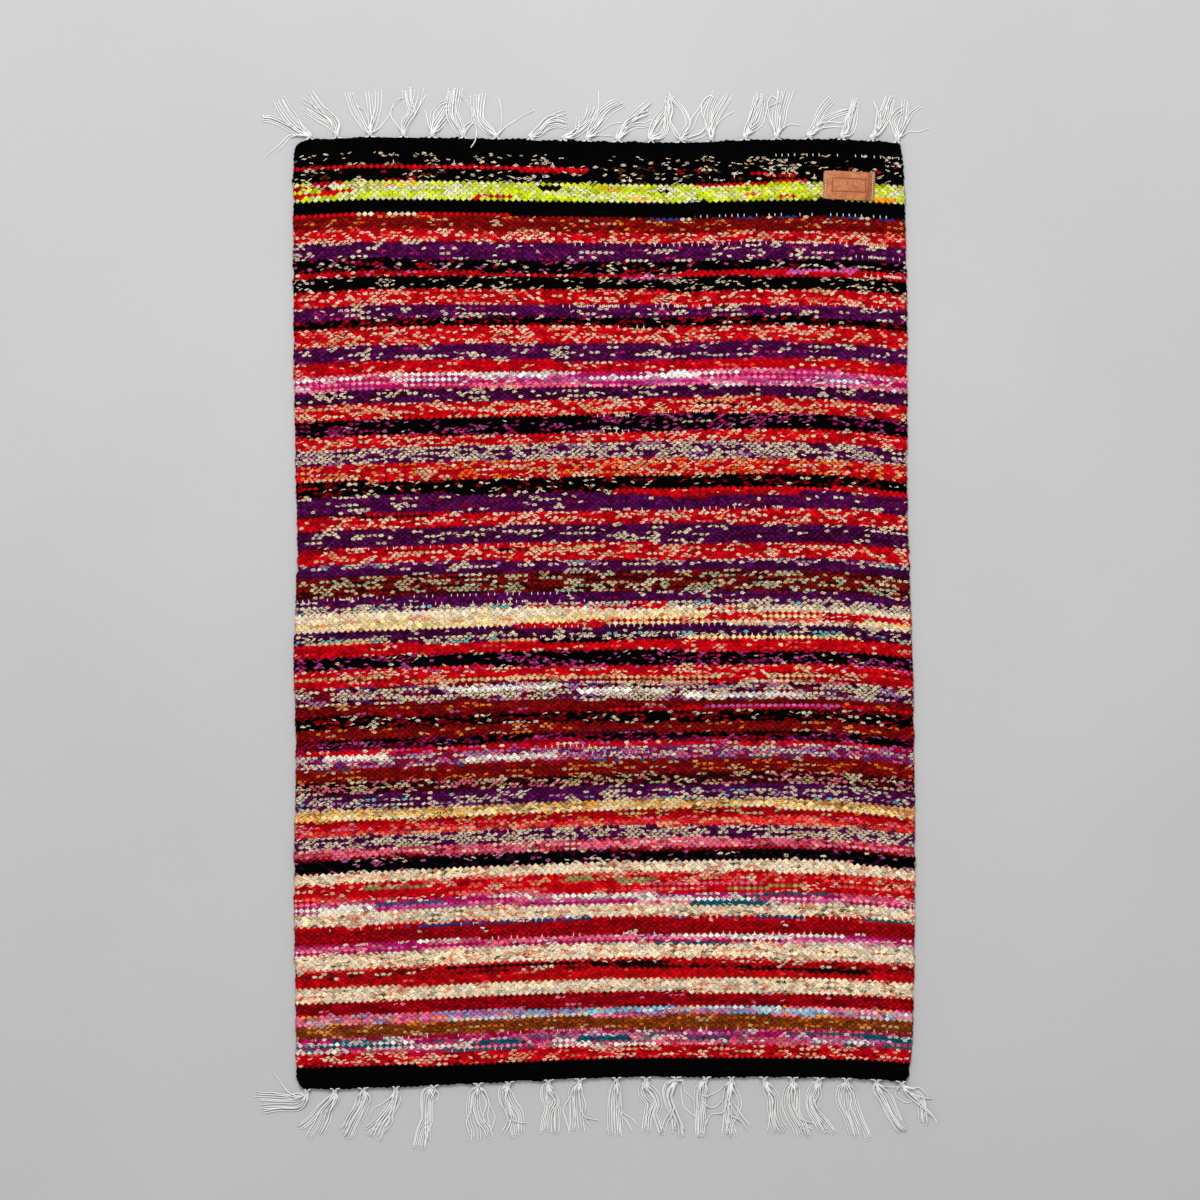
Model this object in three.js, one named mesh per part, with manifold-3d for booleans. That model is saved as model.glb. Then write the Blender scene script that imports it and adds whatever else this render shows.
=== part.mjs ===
// A handwoven cotton doormat lying flat: a thick weft-faced body with an uneven outline, a small leather
// label near one corner, and twenty knotted tassels of loose warp ends along each short end.
// Millimetres, +Z up. The origin is the middle of the body's underside and +Y points to the labelled end.

import * as THREE from 'three';
import { mergeVertices } from 'three/addons/utils/BufferGeometryUtils.js';
import Module from 'manifold-3d';

const wasm = await Module();
wasm.setup();

// Driving dimensions of the body
const BODY_WIDTH = 600;
const BODY_LENGTH = 915;
const THICKNESS = 6;
const BODY_COLUMNS = 12;
const BODY_ROWS = 18;
const WAVE_HEIGHT = 0.35;
const WAVE_LENGTH_ACROSS = 260;
const WAVE_LENGTH_ALONG = 190;
const WAVE_SLANT = 800;

// The label, sewn on near the right end of the upper edge
const LABEL_WIDTH = 50;
const LABEL_HEIGHT = 27.5;
const LABEL_THICKNESS = 1.5;
const LABEL_LIFT = 0.4;
const LABEL_CORNER = 2;
const LABEL_X = 237.5;
const LABEL_Y = 412.4;
const LABEL_TURN = THREE.MathUtils.degToRad(-2.5);
const LABEL_COLUMNS = 10;
const LABEL_ROWS = 6;

// The tassels, each parted from the body's end by a gap
const GAP = 0.3;
const STRANDS = 7;
const STRAND_WIDTH = 1.1;
const STRAND_HEIGHT = 1.2;
const STRAND_PITCH = 1.45;
const STRAIGHT_STEPS = 3;
const CURVED_STEPS = 4;
const CURVED_FROM_LEAN = 30;
const CURVED_FROM_BOW = 3;
const KNOT_WIDTH = 10.4;
const KNOT_DEPTH = 7.6;
const KNOT_HEIGHT = 4.8;
const KNOT_SIDES = 8;
const STRAY_LENGTH = 0.66;
const FRAY = 0.04;

// The outline's four sides, each by the points where it turns, as the eye sees them in the photo. The
// long edges run from the upper end down. They bulge and draw in.
const LEFT_EDGE = [
  { x: -300.5, y: 452 },
  { x: -302, y: 408 },
  { x: -300.5, y: 185 },
  { x: -298, y: 69 },
  { x: -301.5, y: -43 },
  { x: -299.5, y: -115 },
  { x: -301, y: -241 },
  { x: -299.5, y: -377 },
  { x: -298.5, y: -455 },
];

const RIGHT_EDGE = [
  { x: 289, y: 450 },
  { x: 292, y: 415 },
  { x: 294.5, y: 263 },
  { x: 294.5, y: 107 },
  { x: 299.5, y: -38 },
  { x: 302, y: -261 },
  { x: 299.5, y: -411 },
  { x: 295, y: -455 },
];

// The short ends run from left to right. The lower one bows inwards.
const TOP_END = [
  { x: -300, y: 457 },
  { x: -222, y: 460.5 },
  { x: 59, y: 455 },
  { x: 142, y: 457.5 },
  { x: 225, y: 458 },
  { x: 300, y: 454 },
];

const BOTTOM_END = [
  { x: -300, y: -465 },
  { x: -175, y: -461 },
  { x: -4, y: -453.5 },
  { x: 132, y: -452.5 },
  { x: 239, y: -454 },
  { x: 300, y: -457.5 },
];

const CORNER_RADIUS = { topLeft: 13, topRight: 6, bottomLeft: 14, bottomRight: 6 };

// Tassels from left to right. x: place of the knot. lean: way of the tips off straight out, in degrees,
// to the right if positive. spread: width across the tips. bow: sideways bulge on the way there.
// stray: lean of one outer strand that lies apart.
const TOP_TASSELS = [
  { x: -285, lean: -60, spread: 26, length: 48, bow: 2, stray: -112 },
  { x: -259, lean: -40, spread: 14, length: 48, bow: 3 },
  { x: -227, lean: -7, spread: 32, length: 44, bow: 0, stray: 42 },
  { x: -195, lean: 12, spread: 18, length: 47, bow: -2 },
  { x: -167, lean: 15, spread: 11, length: 46, bow: -3 },
  { x: -136, lean: -6, spread: 11, length: 48, bow: 3 },
  { x: -104, lean: -20, spread: 12, length: 46, bow: -2, stray: 50 },
  { x: -72, lean: 62, spread: 10, length: 38, bow: -3 },
  { x: -40, lean: 38, spread: 9, length: 36, bow: 2 },
  { x: -17, lean: 38, spread: 13, length: 46, bow: -2 },
  { x: 13, lean: 42, spread: 13, length: 44, bow: -2 },
  { x: 45, lean: 17, spread: 10, length: 46, bow: -1 },
  { x: 74, lean: -4, spread: 10, length: 46, bow: 3, stray: 30 },
  { x: 104, lean: 8, spread: 18, length: 44, bow: -1 },
  { x: 136, lean: 17, spread: 12, length: 43, bow: 0, stray: 44 },
  { x: 167, lean: 7, spread: 11, length: 46, bow: 0, stray: 48 },
  { x: 198, lean: 36, spread: 16, length: 43, bow: -2 },
  { x: 230, lean: 18, spread: 10, length: 41, bow: 2 },
  { x: 259, lean: 17, spread: 13, length: 45, bow: 0, stray: -5 },
  { x: 284, lean: 24, spread: 15, length: 43, bow: 0, stray: 66 },
];

const BOTTOM_TASSELS = [
  { x: -288, lean: -82, spread: 17, length: 49, bow: 2, stray: -120 },
  { x: -261, lean: -38, spread: 20, length: 52, bow: 0 },
  { x: -234, lean: -24, spread: 12, length: 52, bow: 2 },
  { x: -202, lean: -26, spread: 18, length: 50, bow: 3 },
  { x: -165, lean: -12, spread: 10, length: 59, bow: -3 },
  { x: -122, lean: 3, spread: 20, length: 53, bow: 0 },
  { x: -92, lean: 6, spread: 14, length: 55, bow: -5 },
  { x: -54, lean: 1, spread: 13, length: 52, bow: -3 },
  { x: -23, lean: -4, spread: 12, length: 53, bow: -3, stray: 22 },
  { x: 12, lean: -3, spread: 10, length: 56, bow: 0, stray: 16 },
  { x: 41, lean: 6, spread: 16, length: 54, bow: -3 },
  { x: 70, lean: 0, spread: 13, length: 56, bow: -4, stray: 20 },
  { x: 99, lean: -4, spread: 10, length: 59, bow: -2 },
  { x: 124, lean: 2, spread: 14, length: 58, bow: -2, stray: 20 },
  { x: 155, lean: 14, spread: 11, length: 56, bow: 0 },
  { x: 183, lean: 5, spread: 12, length: 57, bow: -3, stray: 15 },
  { x: 209, lean: 13, spread: 11, length: 55, bow: -7 },
  { x: 235, lean: 17, spread: 12, length: 58, bow: -3 },
  { x: 264, lean: 27, spread: 11, length: 57, bow: -2 },
  { x: 288, lean: 36, spread: 16, length: 48, bow: 0, stray: 62 },
];

// A smooth curve through one column of a table, against another column.
function along(table, by, column, at) {
  const rising = [...table].sort((a, b) => a[by] - b[by]);
  const last = rising.length - 1;
  let i = 0;
  while (i < last - 1 && at > rising[i + 1][by]) i += 1;
  const row = (n) => rising[Math.min(last, Math.max(0, n))];
  const slope = (n) => {
    const before = row(n - 1);
    const after = row(n + 1);
    return (after[column] - before[column]) / (after[by] - before[by]);
  };
  const start = row(i);
  const end = row(i + 1);
  const step = end[by] - start[by];
  const t = THREE.MathUtils.clamp((at - start[by]) / step, 0, 1);
  const t2 = t * t;
  const t3 = t2 * t;
  return start[column] * (2 * t3 - 3 * t2 + 1) + slope(i) * step * (t3 - 2 * t2 + t)
    + end[column] * (3 * t2 - 2 * t3) + slope(i + 1) * step * (t3 - t2);
}

const leftEdge = (y) => along(LEFT_EDGE, 'y', 'x', y);
const rightEdge = (y) => along(RIGHT_EDGE, 'y', 'x', y);
const topEnd = (x) => along(TOP_END, 'x', 'y', x);
const bottomEnd = (x) => along(BOTTOM_END, 'x', 'y', x);

// The body lies flat but a little uneven: its top swells and dips gently.
function bodyTop(x, y) {
  const across = Math.sin(2 * Math.PI * (x / WAVE_LENGTH_ACROSS + y / WAVE_SLANT));
  const down = Math.cos(2 * Math.PI * (y / WAVE_LENGTH_ALONG + x / WAVE_SLANT));
  return THICKNESS + 0.5 * WAVE_HEIGHT * (across + down);
}

// Draws a point near a corner in, so that the square corner becomes a quarter circle of the given radius.
function roundCorner(point, cornerX, cornerY, radius) {
  const insideX = Math.abs(point.x - cornerX);
  const insideY = Math.abs(point.y - cornerY);
  if (insideX >= radius || insideY >= radius) return;
  const a = 1 - insideX / radius;
  const b = 1 - insideY / radius;
  const sideX = Math.sign(cornerX);
  const sideY = Math.sign(cornerY);
  point.x = cornerX - sideX * radius * (1 - a * Math.sqrt(1 - b * b / 2));
  point.y = cornerY - sideY * radius * (1 - b * Math.sqrt(1 - a * a / 2));
}

// Where the body's material point (u, v) lies: u from the left edge to the right, v from the lower end up.
function bodyPoint(u, v) {
  const level = THREE.MathUtils.lerp(bottomEnd(0), topEnd(0), v);
  const x = THREE.MathUtils.lerp(leftEdge(level), rightEdge(level), u);
  const y = THREE.MathUtils.lerp(bottomEnd(x), topEnd(x), v);
  const point = new THREE.Vector2(x, y);
  const upper = topEnd(x);
  const lower = bottomEnd(x);
  roundCorner(point, leftEdge(upper), upper, CORNER_RADIUS.topLeft);
  roundCorner(point, rightEdge(upper), upper, CORNER_RADIUS.topRight);
  roundCorner(point, leftEdge(lower), lower, CORNER_RADIUS.bottomLeft);
  roundCorner(point, rightEdge(lower), lower, CORNER_RADIUS.bottomRight);
  return point;
}

// The rounded edge of the body: what share of the thickness the top and the underside have reached at a
// distance in from the rim.
const EDGE_PROFILE = [
  { inset: 0, top: 0.5, underside: 0.5 },
  { inset: 1.2, top: 0.84, underside: 0.14 },
  { inset: 3, top: 1, underside: 0 },
];
const CORNER_INSETS = [7, 13];

// Stations across a length: close together at both ends, where the edge is rounded, and even between.
function stations(length, count) {
  const near = [...EDGE_PROFILE.map((row) => row.inset), ...CORNER_INSETS];
  const first = near.at(-1);
  const inner = [];
  for (let i = 1; i < count; i += 1) inner.push(first + (length - 2 * first) * i / count);
  const far = near.map((inset) => length - inset).reverse();
  return [...near, ...inner, ...far].map((place) => place / length);
}

function edgeShare(column, inset) {
  const last = EDGE_PROFILE.at(-1);
  if (inset >= last.inset) return last[column];
  const i = inset < EDGE_PROFILE[1].inset ? 0 : 1;
  const start = EDGE_PROFILE[i];
  const end = EDGE_PROFILE[i + 1];
  return THREE.MathUtils.mapLinear(inset, start.inset, end.inset, start[column], end[column]);
}

function meshFrom(name, positions, indices, material) {
  const geometry = new THREE.BufferGeometry();
  geometry.setAttribute('position', new THREE.Float32BufferAttribute(positions, 3));
  geometry.setIndex(indices);
  geometry.computeVertexNormals();
  const mesh = new THREE.Mesh(geometry, material);
  mesh.name = name;
  return mesh;
}

// One flat closed solid. Its top and underside are the same grid and share the points of the rim.
function makeBody(material) {
  const us = stations(BODY_WIDTH, BODY_COLUMNS);
  const vs = stations(BODY_LENGTH, BODY_ROWS);
  const positions = [];
  const indices = [];
  const shared = new Map();

  const addPoint = (i, j, face) => {
    const onRim = i === 0 || j === 0 || i === us.length - 1 || j === vs.length - 1;
    const key = `${i}/${j}/${onRim ? 'rim' : face}`;
    if (!shared.has(key)) {
      const point = bodyPoint(us[i], vs[j]);
      const insetX = Math.min(us[i], 1 - us[i]) * BODY_WIDTH;
      const insetY = Math.min(vs[j], 1 - vs[j]) * BODY_LENGTH;
      const inset = Math.min(insetX, insetY);
      const z = bodyTop(point.x, point.y) * edgeShare(face, inset);
      shared.set(key, positions.length / 3);
      positions.push(point.x, point.y, z);
    }
    return shared.get(key);
  };

  for (let j = 0; j < vs.length - 1; j += 1) {
    for (let i = 0; i < us.length - 1; i += 1) {
      for (const face of ['top', 'underside']) {
        const a = addPoint(i, j, face);
        const b = addPoint(i + 1, j, face);
        const c = addPoint(i + 1, j + 1, face);
        const d = addPoint(i, j + 1, face);
        const faces = face === 'top' ? [a, b, c, a, c, d] : [a, c, b, a, d, c];
        indices.push(...faces);
      }
    }
  }
  return meshFrom('rug_body', positions, indices, material);
}

// The leather label: a thin plate with rounded corners that lies on the body and follows its swell.
function makeLabel(material) {
  const positions = [];
  const indices = [];
  const width = LABEL_COLUMNS + 1;
  const layer = width * (LABEL_ROWS + 1);
  for (const lift of [LABEL_LIFT, LABEL_LIFT + LABEL_THICKNESS]) {
    for (let j = 0; j <= LABEL_ROWS; j += 1) {
      for (let i = 0; i <= LABEL_COLUMNS; i += 1) {
        const x = LABEL_WIDTH * (i / LABEL_COLUMNS - 0.5);
        const y = LABEL_HEIGHT * (j / LABEL_ROWS - 0.5);
        const point = new THREE.Vector2(x, y);
        for (const cornerX of [-LABEL_WIDTH / 2, LABEL_WIDTH / 2]) {
          for (const cornerY of [-LABEL_HEIGHT / 2, LABEL_HEIGHT / 2]) {
            roundCorner(point, cornerX, cornerY, LABEL_CORNER);
          }
        }
        point.rotateAround(new THREE.Vector2(0, 0), LABEL_TURN);
        point.add(new THREE.Vector2(LABEL_X, LABEL_Y));
        positions.push(point.x, point.y, bodyTop(point.x, point.y) + lift);
      }
    }
  }
  const at = (i, j, top) => top * layer + j * width + i;
  const quad = (a, b, c, d) => indices.push(a, b, c, a, c, d);
  for (let j = 0; j < LABEL_ROWS; j += 1) {
    for (let i = 0; i < LABEL_COLUMNS; i += 1) {
      quad(at(i, j, 1), at(i + 1, j, 1), at(i + 1, j + 1, 1), at(i, j + 1, 1));
      quad(at(i, j, 0), at(i, j + 1, 0), at(i + 1, j + 1, 0), at(i + 1, j, 0));
    }
  }
  for (let i = 0; i < LABEL_COLUMNS; i += 1) {
    quad(at(i, 0, 0), at(i + 1, 0, 0), at(i + 1, 0, 1), at(i, 0, 1));
    quad(at(i + 1, LABEL_ROWS, 0), at(i, LABEL_ROWS, 0), at(i, LABEL_ROWS, 1), at(i + 1, LABEL_ROWS, 1));
  }
  for (let j = 0; j < LABEL_ROWS; j += 1) {
    quad(at(0, j + 1, 0), at(0, j, 0), at(0, j, 1), at(0, j + 1, 1));
    quad(at(LABEL_COLUMNS, j, 0), at(LABEL_COLUMNS, j + 1, 0), at(LABEL_COLUMNS, j + 1, 1),
      at(LABEL_COLUMNS, j, 1));
  }
  return meshFrom('label', positions, indices, material);
}

function toSolid(geometry) {
  const bare = geometry.clone();
  bare.deleteAttribute('normal');
  bare.deleteAttribute('uv');
  const merged = mergeVertices(bare, 1e-4);
  const mesh = new wasm.Mesh({
    numProp: 3,
    vertProperties: Float32Array.from(merged.attributes.position.array),
    triVerts: Uint32Array.from(merged.index.array),
  });
  return new wasm.Manifold(mesh);
}

// A curve that leaves the knot straight out and turns towards its tip, as a lock of loose warp ends does.
function strandCurve(start, out, lean, length, bow) {
  const angle = THREE.MathUtils.degToRad(lean);
  const way = new THREE.Vector2(Math.sin(angle), out * Math.cos(angle));
  const side = new THREE.Vector2(Math.cos(angle), -out * Math.sin(angle));
  const middle = start.clone().add(new THREE.Vector2(0, out * 0.2 * length));
  middle.addScaledVector(way, 0.3 * length);
  middle.addScaledVector(side, 2 * bow);
  const tip = start.clone().addScaledVector(way, length);
  return new THREE.QuadraticBezierCurve(start, middle, tip);
}

// A three-sided strand whose flat side lies level on the floor.
function strandGeometry(points) {
  const positions = [];
  const indices = [];
  const last = points.length - 1;
  points.forEach((point, n) => {
    const before = points[Math.max(0, n - 1)];
    const after = points[Math.min(last, n + 1)];
    const tangent = after.clone().sub(before).normalize();
    const side = new THREE.Vector2(tangent.y, -tangent.x).multiplyScalar(STRAND_WIDTH / 2);
    positions.push(point.x + side.x, point.y + side.y, 0);
    positions.push(point.x, point.y, STRAND_HEIGHT);
    positions.push(point.x - side.x, point.y - side.y, 0);
  });
  for (let n = 0; n < last; n += 1) {
    for (let s = 0; s < 3; s += 1) {
      const a = 3 * n + s;
      const b = 3 * n + (s + 1) % 3;
      indices.push(a, a + 3, b, b, a + 3, b + 3);
    }
  }
  indices.push(0, 1, 2, 3 * last, 3 * last + 2, 3 * last + 1);
  const geometry = new THREE.BufferGeometry();
  geometry.setAttribute('position', new THREE.Float32BufferAttribute(positions, 3));
  geometry.setIndex(indices);
  return geometry;
}

// The knot, a low dome with a flat foot, wider along the mat's end than outwards.
function knotGeometry(centre) {
  const radius = KNOT_WIDTH / 2;
  const profile = [
    new THREE.Vector2(0, 0),
    new THREE.Vector2(radius, 0),
    new THREE.Vector2(0.8 * radius, 0.68 * KNOT_HEIGHT),
    new THREE.Vector2(0, KNOT_HEIGHT),
  ];
  const geometry = new THREE.LatheGeometry(profile, KNOT_SIDES);
  geometry.rotateX(Math.PI / 2);
  geometry.scale(1, KNOT_DEPTH / KNOT_WIDTH, 1);
  geometry.translate(centre.x, centre.y, 0);
  return geometry;
}

// One tassel: the strands lie side by side, apart but for their roots, which are fused into the knot.
function makeTassel(name, row, end, out, material) {
  const edge = end(row.x);
  const centre = new THREE.Vector2(row.x, edge + out * (GAP + KNOT_DEPTH / 2));
  let solid = toSolid(knotGeometry(centre));
  const middle = (STRANDS - 1) / 2;
  const straySide = row.stray === undefined ? 0 : Math.sign(row.stray - row.lean);
  const isCurved = Math.abs(row.lean) > CURVED_FROM_LEAN || Math.abs(row.bow) >= CURVED_FROM_BOW;
  const steps = isCurved ? CURVED_STEPS : STRAIGHT_STEPS;
  for (let n = 0; n < STRANDS; n += 1) {
    const place = (n - middle) / middle;
    const isStray = straySide !== 0 && place === straySide;
    const points = [];
    const rootOffset = (n - middle) * STRAND_PITCH;
    const tipOffset = place * row.spread / 2;
    const shortening = FRAY * Math.abs(Math.sin(7 * n + row.x));
    if (isStray) {
      const start = centre.clone().add(new THREE.Vector2(rootOffset, 0));
      const curve = strandCurve(start, out, row.stray, STRAY_LENGTH * row.length, 0);
      points.push(...curve.getPoints(CURVED_STEPS));
    } else {
      const curve = strandCurve(centre, out, row.lean, row.length, row.bow);
      for (let step = 0; step <= steps; step += 1) {
        const share = step / steps;
        const t = share * (1 - shortening);
        const tangent = curve.getTangent(t);
        const side = new THREE.Vector2(out * tangent.y, -out * tangent.x);
        const offset = THREE.MathUtils.lerp(rootOffset, tipOffset, share);
        points.push(curve.getPoint(t).addScaledVector(side, offset));
      }
    }
    solid = solid.add(toSolid(strandGeometry(points)));
  }
  const result = solid.getMesh();
  return meshFrom(name, [...result.vertProperties], [...result.triVerts], material);
}

const wovenCotton = new THREE.MeshStandardMaterial({
  name: 'woven_cotton', color: 0x9c2f3c, roughness: 0.95, metalness: 0, flatShading: true,
});
const warpCotton = new THREE.MeshStandardMaterial({
  name: 'warp_cotton', color: 0xd9d7d2, roughness: 0.95, metalness: 0, flatShading: true,
});
const tanLeather = new THREE.MeshStandardMaterial({
  name: 'tan_leather', color: 0xa5683f, roughness: 0.6, metalness: 0, flatShading: true,
});

const rug = new THREE.Group();
rug.add(makeBody(wovenCotton));
rug.add(makeLabel(tanLeather));
TOP_TASSELS.forEach((row, n) => {
  rug.add(makeTassel(`tassel_top_${String(n + 1).padStart(2, '0')}`, row, topEnd, 1, warpCotton.clone()));
});
BOTTOM_TASSELS.forEach((row, n) => {
  const name = `tassel_bottom_${String(n + 1).padStart(2, '0')}`;
  rug.add(makeTassel(name, row, bottomEnd, -1, warpCotton.clone()));
});

export default rug;
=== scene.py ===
import math

import bpy
import numpy as np
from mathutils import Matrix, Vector


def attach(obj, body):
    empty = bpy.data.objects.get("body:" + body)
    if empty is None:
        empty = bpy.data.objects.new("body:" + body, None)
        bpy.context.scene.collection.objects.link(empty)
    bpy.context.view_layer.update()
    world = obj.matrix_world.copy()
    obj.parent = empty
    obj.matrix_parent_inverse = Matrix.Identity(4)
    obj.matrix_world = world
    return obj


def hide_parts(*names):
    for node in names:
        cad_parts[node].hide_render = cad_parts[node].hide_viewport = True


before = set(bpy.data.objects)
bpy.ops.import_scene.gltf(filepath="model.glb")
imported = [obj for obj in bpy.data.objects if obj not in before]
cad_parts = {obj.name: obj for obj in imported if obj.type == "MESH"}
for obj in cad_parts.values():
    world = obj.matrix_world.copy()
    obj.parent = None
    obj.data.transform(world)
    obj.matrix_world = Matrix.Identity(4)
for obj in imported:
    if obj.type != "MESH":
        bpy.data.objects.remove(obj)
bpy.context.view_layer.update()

bpy.ops.object.select_all(action="DESELECT")

# The woven body
# One flat cloth in weft-faced plain weave. Doubled cotton picks are beaten down so hard on 201 warp ends that
# only their beads show, and they turn round the outer warps, so the long edges are rounded selvedges. The
# edges bulge and draw in and the rows of weft bow, as the hand loom left them.

MILLIMETRE = 0.001
THICKNESS = 0.006
SWELL_HEIGHT = 0.00035
SWELL_ACROSS = 0.26
SWELL_ALONG = 0.19
SWELL_SLANT = 0.8
EDGE_RADIUS = 0.003
CLOTH_WIDTH = 0.6
CLOTH_LENGTH = 0.915
WARP_GAPS = 200
PICKS = 366
BEAD_DEPTH = 0.0011
UNDERSIDE_DEPTH = 0.0005

# The outline's four sides, each by the points where it turns, in millimetres. The long edges run from the
# upper end down and the short ends from left to right.
LEFT_EDGE = np.array([
    (-300.5, 452), (-302, 408), (-300.5, 185), (-298, 69), (-301.5, -43), (-299.5, -115), (-301, -241),
    (-299.5, -377), (-298.5, -455),
]) * MILLIMETRE
RIGHT_EDGE = np.array([
    (289, 450), (292, 415), (294.5, 263), (294.5, 107), (299.5, -38), (302, -261), (299.5, -411),
    (295, -455),
]) * MILLIMETRE
TOP_END = np.array([
    (-300, 457), (-222, 460.5), (59, 455), (142, 457.5), (225, 458), (300, 454),
]) * MILLIMETRE
BOTTOM_END = np.array([
    (-300, -465), (-175, -461), (-4, -453.5), (132, -452.5), (239, -454), (300, -457.5),
]) * MILLIMETRE

# The rounded corners: side, end and radius in millimetres.
CORNERS = ((-1, 1, 13), (1, 1, 6), (-1, -1, 14), (1, -1, 6))

# The bows in the rows of weft, as they show in the photo. Each has its middle (share across and share
# down), how far it reaches both ways, and by how many millimetres the rows hang there.
ROW_BOWS = (
    (0, 0.4, 0.3, 0.32, 5),
    (0, 0.85, 0.2, 0.12, 3),
    (0.7, 0.29, 0.22, 0.1, -3),
    (0.75, 0.7, 0.25, 0.08, -4),
    (1, 0.5, 0.08, 0.35, 3),
)
# How soon the bows die away towards the two ends.
BOW_NEAR_ENDS = 8

# The yarns by name, as their colours look in daylight, red, green and blue out of 255.
YARNS = {
    "black": (3, 2, 2), "cream": (232, 212, 180), "white": (232, 226, 216), "sand": (212, 178, 128),
    "straw": (236, 212, 150), "red": (200, 6, 22), "crimson": (146, 2, 18), "coral": (226, 92, 82),
    "maroon": (92, 6, 14), "brick": (140, 16, 12), "orange": (226, 132, 36), "amber": (246, 172, 22),
    "purple": (92, 16, 84), "plum": (60, 4, 46), "violet": (118, 44, 112), "lilac": (178, 120, 168),
    "magenta": (178, 22, 100), "orchid": (190, 84, 150), "pink": (232, 120, 152), "rose": (220, 104, 126),
    "ice": (206, 218, 220), "turquoise": (104, 196, 196), "teal": (14, 92, 108), "blue": (16, 62, 128),
    "sky": (128, 190, 214), "sage": (186, 192, 158), "olive": (152, 150, 92), "lime": (196, 208, 40),
    "caramel": (150, 72, 22), "cocoa": (96, 46, 16), "espresso": (30, 8, 8),
}

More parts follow.
